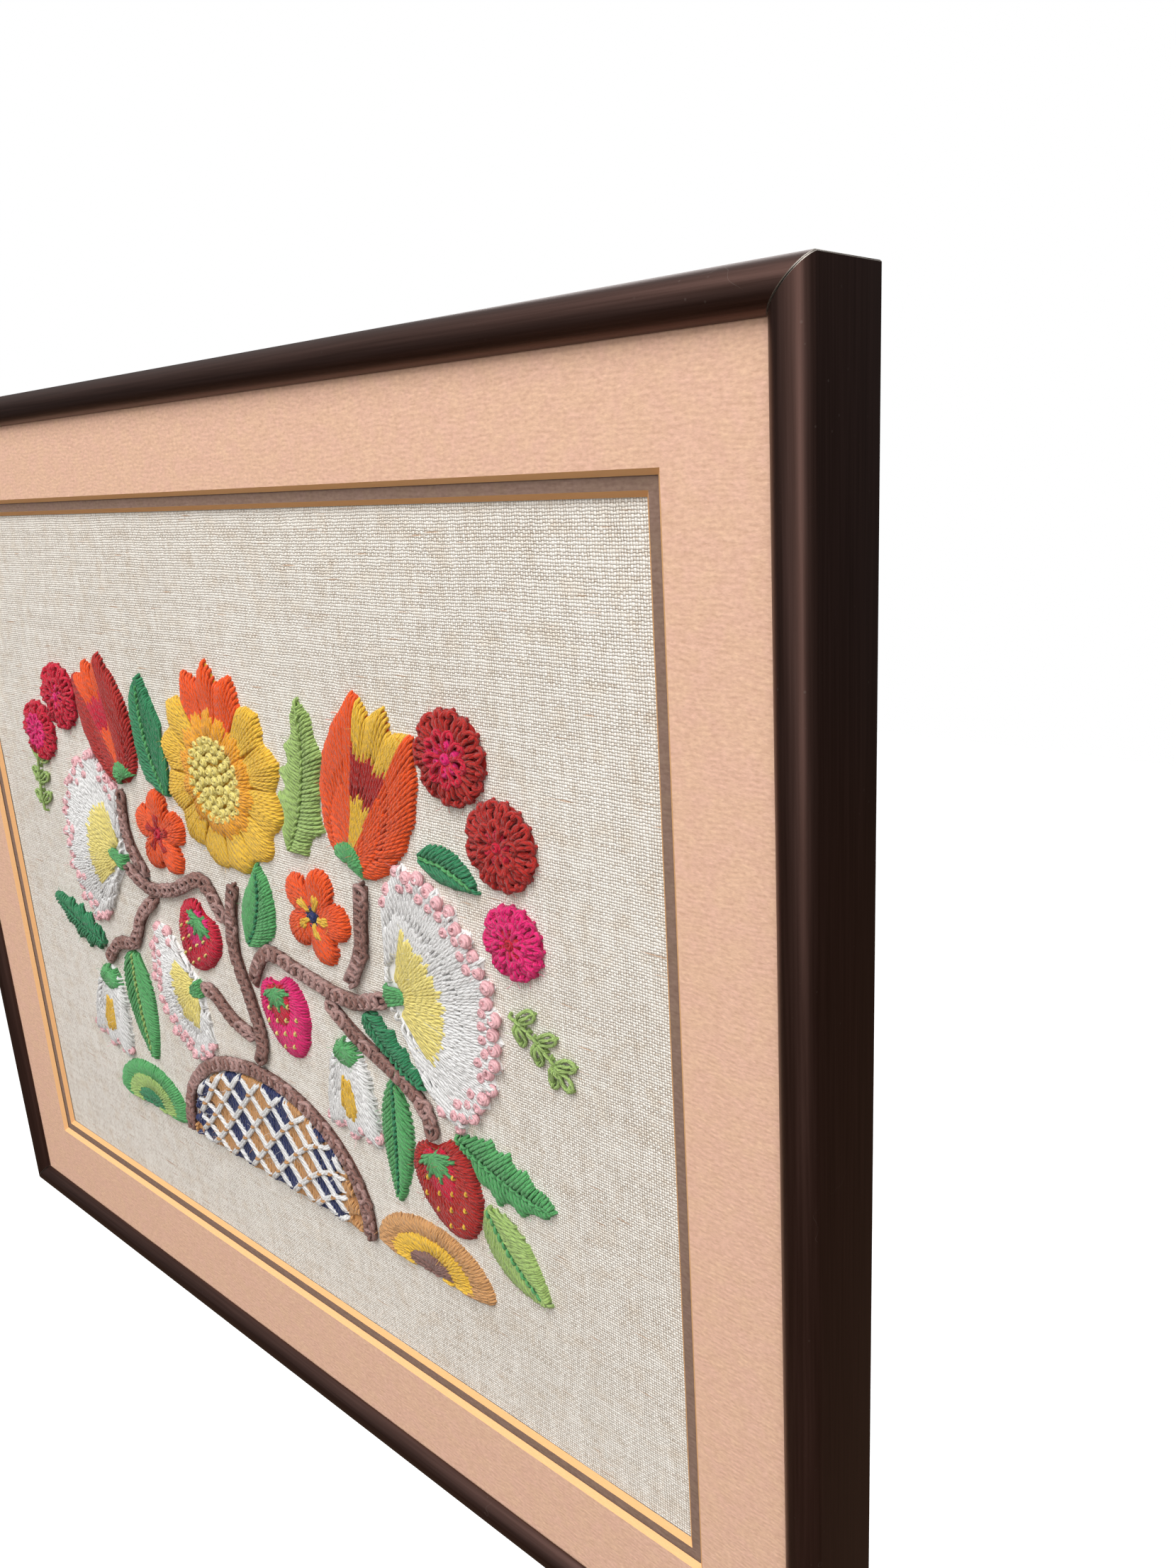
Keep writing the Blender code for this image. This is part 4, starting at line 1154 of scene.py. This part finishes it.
def makeLinen():
    low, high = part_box("linen_ground")
    dice = random.Random(12)
    waves = [(dice.uniform(20, 60), dice.uniform(20, 60), dice.uniform(0, 6)) for _ in range(5)]
    points, faces = [], []
    for row in range(linen["rows"] + 1):
        z = low.z + (high.z - low.z) * row / linen["rows"]
        for column in range(linen["columns"] + 1):
            x = low.x + (high.x - low.x) * column / linen["columns"]
            lift = sum(math.sin(a * x + b * z + c) for a, b, c in waves) / len(waves)
            points.append((x, low.y + linen["ripple"] * lift, z))
    wide = linen["columns"] + 1
    for row in range(linen["rows"]):
        for column in range(linen["columns"]):
            a = row * wide + column
            faces.append((a, a + 1, a + wide + 1, a + wide))
    mesh = bpy.data.meshes.new("linen_cloth")
    mesh.from_pydata(points, [], faces)
    mesh.shade_smooth()
    cloth = addObject("linen_cloth", mesh)
    solid = cloth.modifiers.new("thickness", "SOLIDIFY")
    solid.thickness = linen["thickness"]
    solid.offset = -1.0
    mesh.materials.append(linenMaterial())
    ridePiece(cloth, "linen", "linen_ground")


buildPlainWeave()
makeLinen()
print("linen stretched")


# Mount boards: laid paper on a pale core that shows on the bevels

boards = {
    "mat_outer": {"rosy": (246, 202, 180), "sandy": (246, 206, 176), "dark": (217, 174, 149),
                  "core": (248, 194, 138)},
    "mat_inner": {"rosy": (152, 127, 115), "sandy": (150, 127, 110), "dark": (126, 101, 89),
                  "core": (240, 184, 128)},
    "ribPitch": 1.25 * mm,
    "paperDepth": 0.065 * mm,
    "backing": (196, 180, 152),
    "backingDepth": 0.06 * mm,
}


def buildLaidPaper():
    tree, given, out = newGroup(
        "laidPaper", "ShaderNodeTree", [("Pitch", "NodeSocketFloat", 0.00125)],
        [("Height", "NodeSocketFloat"), ("Tone", "NodeSocketFloat"), ("Patch", "NodeSocketFloat"),
         ("Bevel", "NodeSocketFloat")])
    coordinate = tree.nodes.new("ShaderNodeTexCoord")
    spot = coordinate.outputs["Object"]
    wander = noise(tree, spot, 60.0, 2.0)
    up = calc(tree, "DIVIDE", separate(tree, spot)[2], given.outputs["Pitch"])
    up = calc(tree, "MULTIPLY_ADD", wander, 5.0, up)
    rib = calc(tree, "MULTIPLY_ADD", calc(tree, "SINE", calc(tree, "MULTIPLY", up, math.tau)), 0.5, 0.5)
    turned = place(tree, "ShaderNodeMapping", {"Vector": spot, "Rotation": (0.0, math.radians(35), 0.0),
                                               "Scale": (520.0, 520.0, 1250.0)})
    fibre = remap(tree, noise(tree, turned.outputs[0], 1.0, 3.0), 0.3, 0.7)
    mottled = remap(tree, noise(tree, spot, 900.0, 3.0), 0.3, 0.7)
    tone = calc(tree, "MULTIPLY_ADD", rib, 0.14,
                calc(tree, "MULTIPLY_ADD", fibre, 0.46, calc(tree, "MULTIPLY", mottled, 0.40)))
    height = calc(tree, "ADD", calc(tree, "MULTIPLY", rib, 0.12),
                  calc(tree, "MULTIPLY_ADD", fibre, 0.55, calc(tree, "MULTIPLY", mottled, 0.45)))
    facing = calc(tree, "ABSOLUTE", separate(tree, coordinate.outputs["Normal"])[1])
    giveOut(tree, out, {"Height": height, "Tone": tone, "Bevel": calc(tree, "LESS_THAN", facing, 0.9),
                        "Patch": remap(tree, noise(tree, spot, 190.0, 2.0), 0.36, 0.64)})


def boardMaterial(name):
    material, tree, shader = newMaterial(name + "_paper", roughness=0.85, specular=0.25)
    paper = useGroup(tree, "laidPaper", {"Pitch": boards["ribPitch"]})
    look = boards[name]
    face = mixColour(tree, paper.outputs["Patch"], linear(*look["rosy"]), linear(*look["sandy"]))
    face = mixColour(tree, paper.outputs["Tone"], linear(*look["dark"]), face)
    colour = mixColour(tree, paper.outputs["Bevel"], face, linear(*look["core"]))
    tree.links.new(colour, shader.inputs["Base Color"])
    addBump(tree, shader, paper.outputs["Height"], boards["paperDepth"])
    return material


def backingMaterial():
    material, tree, shader = newMaterial("backing_kraft", roughness=0.9, specular=0.2)
    fibre = noise(tree, calcVector(tree, "MULTIPLY", objectSpace(tree), (220.0, 600.0, 900.0)), 1.0, 4.0)
    light = linear(*boards["backing"])
    dark = tuple(0.72 * c for c in light[:3]) + (1.0,)
    tree.links.new(mixColour(tree, fibre, dark, light), shader.inputs["Base Color"])
    addBump(tree, shader, fibre, boards["backingDepth"])
    return material


def dressNode(node, material):
    mesh = nodes[node].data
    mesh.materials.clear()
    mesh.materials.append(material)


buildLaidPaper()
for name in ("mat_outer", "mat_inner"):
    dressNode(name, boardMaterial(name))
dressNode("backing_board", backingMaterial())
print("boards dressed")


# Frame: four mitred rails of anodised aluminium, bare metal where they were cut

rail = {
    "sideDepth": 24.8,
    "beadRadius": 5.3,
    "faceWidth": 10.2,
    "wall": 5.4,
    "backEase": 0.4,
    "lipBack": 24.66,
    "beadSteps": 36,
    "gap": 0.3,
    "cutEase": 0.16,
    "bronze": (104, 79, 73),
    "bronzeDark": (68, 48, 42),
    "marks": (150, 140, 134),
    "bare": (196, 188, 180),
    "brushDepth": 0.012 * mm,
    "sawDepth": 0.02 * mm,
}


def railProfile():
    # distance in from the outer side, and height off the back plane
    rise = math.sqrt(rail["beadRadius"] ** 2 - (rail["faceWidth"] / 2) ** 2)
    half = math.asin(rail["faceWidth"] / 2 / rail["beadRadius"])
    centre = rail["sideDepth"] - rise
    profile = [(rail["backEase"], 0.0), (0.0, rail["backEase"])]
    for step in range(rail["beadSteps"] + 1):
        angle = half * (2 * step / rail["beadSteps"] - 1)
        profile.append((rail["faceWidth"] / 2 + rail["beadRadius"] * math.sin(angle),
                        centre + rail["beadRadius"] * math.cos(angle)))
    profile += [(rail["faceWidth"], rail["lipBack"]), (rail["wall"], rail["lipBack"]),
                (rail["wall"], rail["backEase"]), (rail["wall"] - rail["backEase"], 0.0)]
    return [Vector(p) for p in profile]


def easedProfile(profile):
    # the same profile a little smaller, for the eased edge of the cut
    middle = sum(profile, Vector((0, 0))) / len(profile)
    return [p + (middle - p).normalized() * rail["cutEase"] for p in profile]


def buildMetalWear():
    tree, given, out = newGroup(
        "metalWear", "ShaderNodeTree", [("Run Scale", "NodeSocketVector", None)],
        [("Grain", "NodeSocketFloat"), ("Scratch", "NodeSocketFloat"), ("Dust", "NodeSocketFloat")])
    spot = objectSpace(tree)
    grain = noise(tree, calcVector(tree, "MULTIPLY", spot, given.outputs["Run Scale"]), 1.0, 3.0)
    bent = noise(tree, spot, 90.0, 2.0, "Color")
    cut = noise(tree, calcVector(tree, "MULTIPLY_ADD", bent, (0.02, 0.02, 0.02), spot), 55.0, 0.0)
    line = remap(tree, calc(tree, "ABSOLUTE", calc(tree, "SUBTRACT", cut, 0.5)), 0.0, 0.0022, 1.0, 0.0)
    few = remap(tree, noise(tree, spot, 42.0, 1.0), 0.66, 0.72)
    cells = place(tree, "ShaderNodeTexVoronoi", {"Vector": spot, "Scale": 260.0})
    speck = remap(tree, cells.outputs["Distance"], 0.05, 0.09, 1.0, 0.0)
    some = remap(tree, noise(tree, spot, 30.0, 2.0), 0.50, 0.72)
    giveOut(tree, out, {"Grain": grain, "Scratch": calc(tree, "MULTIPLY", line, few),
                        "Dust": calc(tree, "MULTIPLY", speck, some)})


def bronzeMaterial(name, runScale):
    material, tree, shader = newMaterial(name, roughness=0.4, metallic=0.92)
    wear = useGroup(tree, "metalWear", {"Run Scale": runScale})
    colour = mixColour(tree, wear.outputs["Grain"], linear(*rail["bronzeDark"]), linear(*rail["bronze"]))
    marks = calc(tree, "MAXIMUM", calc(tree, "MULTIPLY", wear.outputs["Scratch"], 0.5),
                 calc(tree, "MULTIPLY", wear.outputs["Dust"], 0.35))
    colour = mixColour(tree, marks, colour, linear(*rail["marks"]))
    tree.links.new(colour, shader.inputs["Base Color"])
    rough = calc(tree, "MULTIPLY_ADD", wear.outputs["Grain"], 0.10, 0.32)
    tree.links.new(calc(tree, "MULTIPLY_ADD", marks, 0.3, rough), shader.inputs["Roughness"])
    addBump(tree, shader, wear.outputs["Grain"], rail["brushDepth"], 0.6)
    return material


def bareMaterial():
    material, tree, shader = newMaterial("bare_aluminium", roughness=0.45, metallic=0.9)
    grain = noise(tree, objectSpace(tree), 2500.0, 2.0)
    light = linear(*rail["bare"])
    dark = tuple(0.6 * c for c in light[:3]) + (1.0,)
    tree.links.new(mixColour(tree, grain, dark, light), shader.inputs["Base Color"])
    addBump(tree, shader, grain, rail["sawDepth"])
    return material


def makeRail(name, start, end, inward, coating, bare):
    start, end, inward = Vector(start), Vector(end), Vector(inward)
    run = (end - start).normalized()
    setback = rail["gap"] / math.sqrt(2)
    profile = railProfile()
    eased = easedProfile(profile)
    rings = [(start, 1, eased, 0.0), (start, 1, profile, rail["cutEase"]),
             (end, -1, profile, rail["cutEase"]), (end, -1, eased, 0.0)]
    points = []
    for corner, sign, shape, back in rings:
        for (inset, height), (full, _) in zip(shape, profile):
            slide = sign * (full + setback + back)
            spot = corner + run * slide + inward * inset
            points.append((spot.x * mm, -height * mm, spot.y * mm))
    count = len(profile)
    faces, kinds = [], []
    for ring in range(3):
        for i in range(count):
            j = (i + 1) % count
            faces.append((ring * count + i, ring * count + j, (ring + 1) * count + j, (ring + 1) * count + i))
            kinds.append(0 if ring == 1 else 1)
    faces += [tuple(range(count)), tuple(range(4 * count - 1, 3 * count - 1, -1))]
    kinds += [1, 1]
    mesh = bpy.data.meshes.new(name + "_section")
    mesh.from_pydata(points, [], faces)
    mesh.materials.append(coating)
    mesh.materials.append(bare)
    mesh.polygons.foreach_set("material_index", kinds)
    work = bmesh.new()
    work.from_mesh(mesh)
    bmesh.ops.recalc_face_normals(work, faces=work.faces[:])
    work.to_mesh(mesh)
    work.free()
    mesh.shade_smooth()
    mesh.set_sharp_from_angle(angle=math.radians(25))
    ridePiece(addObject(name + "_section", mesh), "frame_finish", name)


def makeFrame():
    low, high = cadLow / mm, cadHigh / mm
    left, right, bottom, top = low.x, high.x, low.z, high.z
    acrossCoat = bronzeMaterial("bronze_across", (25.0, 1400.0, 1400.0))
    uprightCoat = bronzeMaterial("bronze_upright", (1400.0, 1400.0, 25.0))
    bare = bareMaterial()
    makeRail("frame_top", (left, top), (right, top), (0, -1), acrossCoat, bare)
    makeRail("frame_bottom", (left, bottom), (right, bottom), (0, 1), acrossCoat, bare)
    makeRail("frame_left", (left, bottom), (left, top), (1, 0), uprightCoat, bare)
    makeRail("frame_right", (right, bottom), (right, top), (-1, 0), uprightCoat, bare)


buildMetalWear()
makeFrame()
print("frame mitred")


# Floor, light and camera

studio = {
    "floorHeight": -1.3,
    "floorSize": 9.0,
    "air": 0.07,            # soft light from all round
    "daylight": 0.68,       # more of it from the brightest way
    "brightest": (0.30, -0.88, 0.37),
    "above": 0.45,
    "floorSeen": (0.92, 0.92, 0.92, 1.0),
    "floorGlow": 0.6,
    "floorBounce": (0.13, 0.085, 0.055, 1.0),
    "lightsFace": (0.0, 0.0, -0.18),
    "cameraAt": (0.3401, -0.2234, -0.0309),
    "cameraLens": 26.82,
    "yaw": 0.72992,
    "pitch": 0.27172,
    "roll": -0.05897,
    "lights": {             # place, width and height, power, tint
        "window_above": ((0.2, -1.2, 1.6), (1.5, 1.2), 38.0, (1.0, 0.99, 0.97)),
        "window_side": ((1.4, -1.38, -0.05), (0.7, 1.6), 5.5, (1.0, 0.97, 0.94)),
        "window_behind": ((-0.7, 1.3, 0.7), (1.2, 1.2), 9.0, (1.0, 1.0, 1.0)),
    },
}


def makeFloor():
    half = studio["floorSize"] / 2
    z = studio["floorHeight"]
    mesh = bpy.data.meshes.new("floor")
    mesh.from_pydata([(-half, -half, z), (half, -half, z), (half, half, z), (-half, half, z)], [],
                     [(0, 1, 2, 3)])
    material, tree, shader = newMaterial("floor_paper", roughness=0.9)
    shader.inputs["Base Color"].default_value = studio["floorSeen"]
    shader.inputs["Emission Color"].default_value = (1.0, 1.0, 1.0, 1.0)
    shader.inputs["Emission Strength"].default_value = studio["floorGlow"]
    bounce = place(tree, "ShaderNodeBsdfDiffuse", {"Color": studio["floorBounce"]})
    rays = tree.nodes.new("ShaderNodeLightPath")
    both = place(tree, "ShaderNodeMixShader", {
        0: rays.outputs["Is Camera Ray"], 1: bounce.outputs[0], 2: shader.outputs[0]})
    tree.links.new(both.outputs[0], tree.nodes["Material Output"].inputs["Surface"])
    mesh.materials.append(material)
    addObject("floor", mesh)


def makeWorld():
    world = bpy.data.worlds.new("studio_air")
    bpy.context.scene.world = world
    world.use_nodes = True
    tree = world.node_tree
    tree.nodes.clear()
    rays = tree.nodes.new("ShaderNodeLightPath")
    seen = place(tree, "ShaderNodeBackground", {"Color": (1.0, 1.0, 1.0, 1.0), "Strength": 1.0})
    looking = tree.nodes.new("ShaderNodeTexCoord").outputs["Generated"]
    near = place(tree, "ShaderNodeVectorMath", {0: looking, 1: studio["brightest"]},
                 operation="DOT_PRODUCT").outputs["Value"]
    near = calc(tree, "POWER", calc(tree, "MAXIMUM", near, 0.0), 2.0)
    strength = calc(tree, "MULTIPLY_ADD", near, studio["daylight"], studio["air"])
    fromAbove = remap(tree, separate(tree, looking)[2], 0.15, 0.9, 0.0, studio["above"])
    strength = calc(tree, "ADD", strength, fromAbove)
    felt = place(tree, "ShaderNodeBackground", {"Color": (1.0, 0.99, 0.98, 1.0), "Strength": strength})
    both = place(tree, "ShaderNodeMixShader", {0: rays.outputs["Is Camera Ray"], 1: felt.outputs[0],
                                               2: seen.outputs[0]})
    out = tree.nodes.new("ShaderNodeOutputWorld")
    tree.links.new(both.outputs[0], out.inputs["Surface"])


def makeLights():
    target = Vector(studio["lightsFace"])
    for name, (spot, size, power, tint) in studio["lights"].items():
        lamp = bpy.data.lights.new(name, "AREA")
        lamp.shape = "RECTANGLE"
        lamp.size, lamp.size_y = size
        lamp.energy, lamp.color = power, tint
        holder = bpy.data.objects.new(name, lamp)
        bpy.context.scene.collection.objects.link(holder)
        holder.location = spot
        holder.rotation_euler = (target - Vector(spot)).to_track_quat("-Z", "Y").to_euler()


def makeCamera():
    yaw, pitch, roll = studio["yaw"], studio["pitch"], studio["roll"]
    ahead = Vector((-math.sin(yaw) * math.cos(pitch), math.cos(yaw) * math.cos(pitch), -math.sin(pitch)))
    right = Vector((math.cos(yaw), math.sin(yaw), 0.0))
    up = right.cross(ahead)
    turnedRight = right * math.cos(roll) + up * math.sin(roll)
    turnedUp = up * math.cos(roll) - right * math.sin(roll)
    lens = bpy.data.cameras.new("camera")
    lens.lens = studio["cameraLens"]
    lens.sensor_width = 36.0
    lens.clip_start = 0.01
    camera = bpy.data.objects.new("camera", lens)
    bpy.context.scene.collection.objects.link(camera)
    turned = Matrix((turnedRight, turnedUp, -ahead)).transposed().to_4x4()
    camera.matrix_world = Matrix.Translation(Vector(studio["cameraAt"])) @ turned
    bpy.context.scene.camera = camera


makeFloor()
makeWorld()
makeLights()
makeCamera()
bpy.context.scene.view_settings.view_transform = "Standard"

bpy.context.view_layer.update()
total = 0
for piece in bpy.data.objects:
    if piece.type == "MESH" and not piece.hide_render and "_stitched" in piece.name:
        total += sum(len(face.vertices) - 2 for face in piece.data.polygons)
print("triangles in the wool:", total)
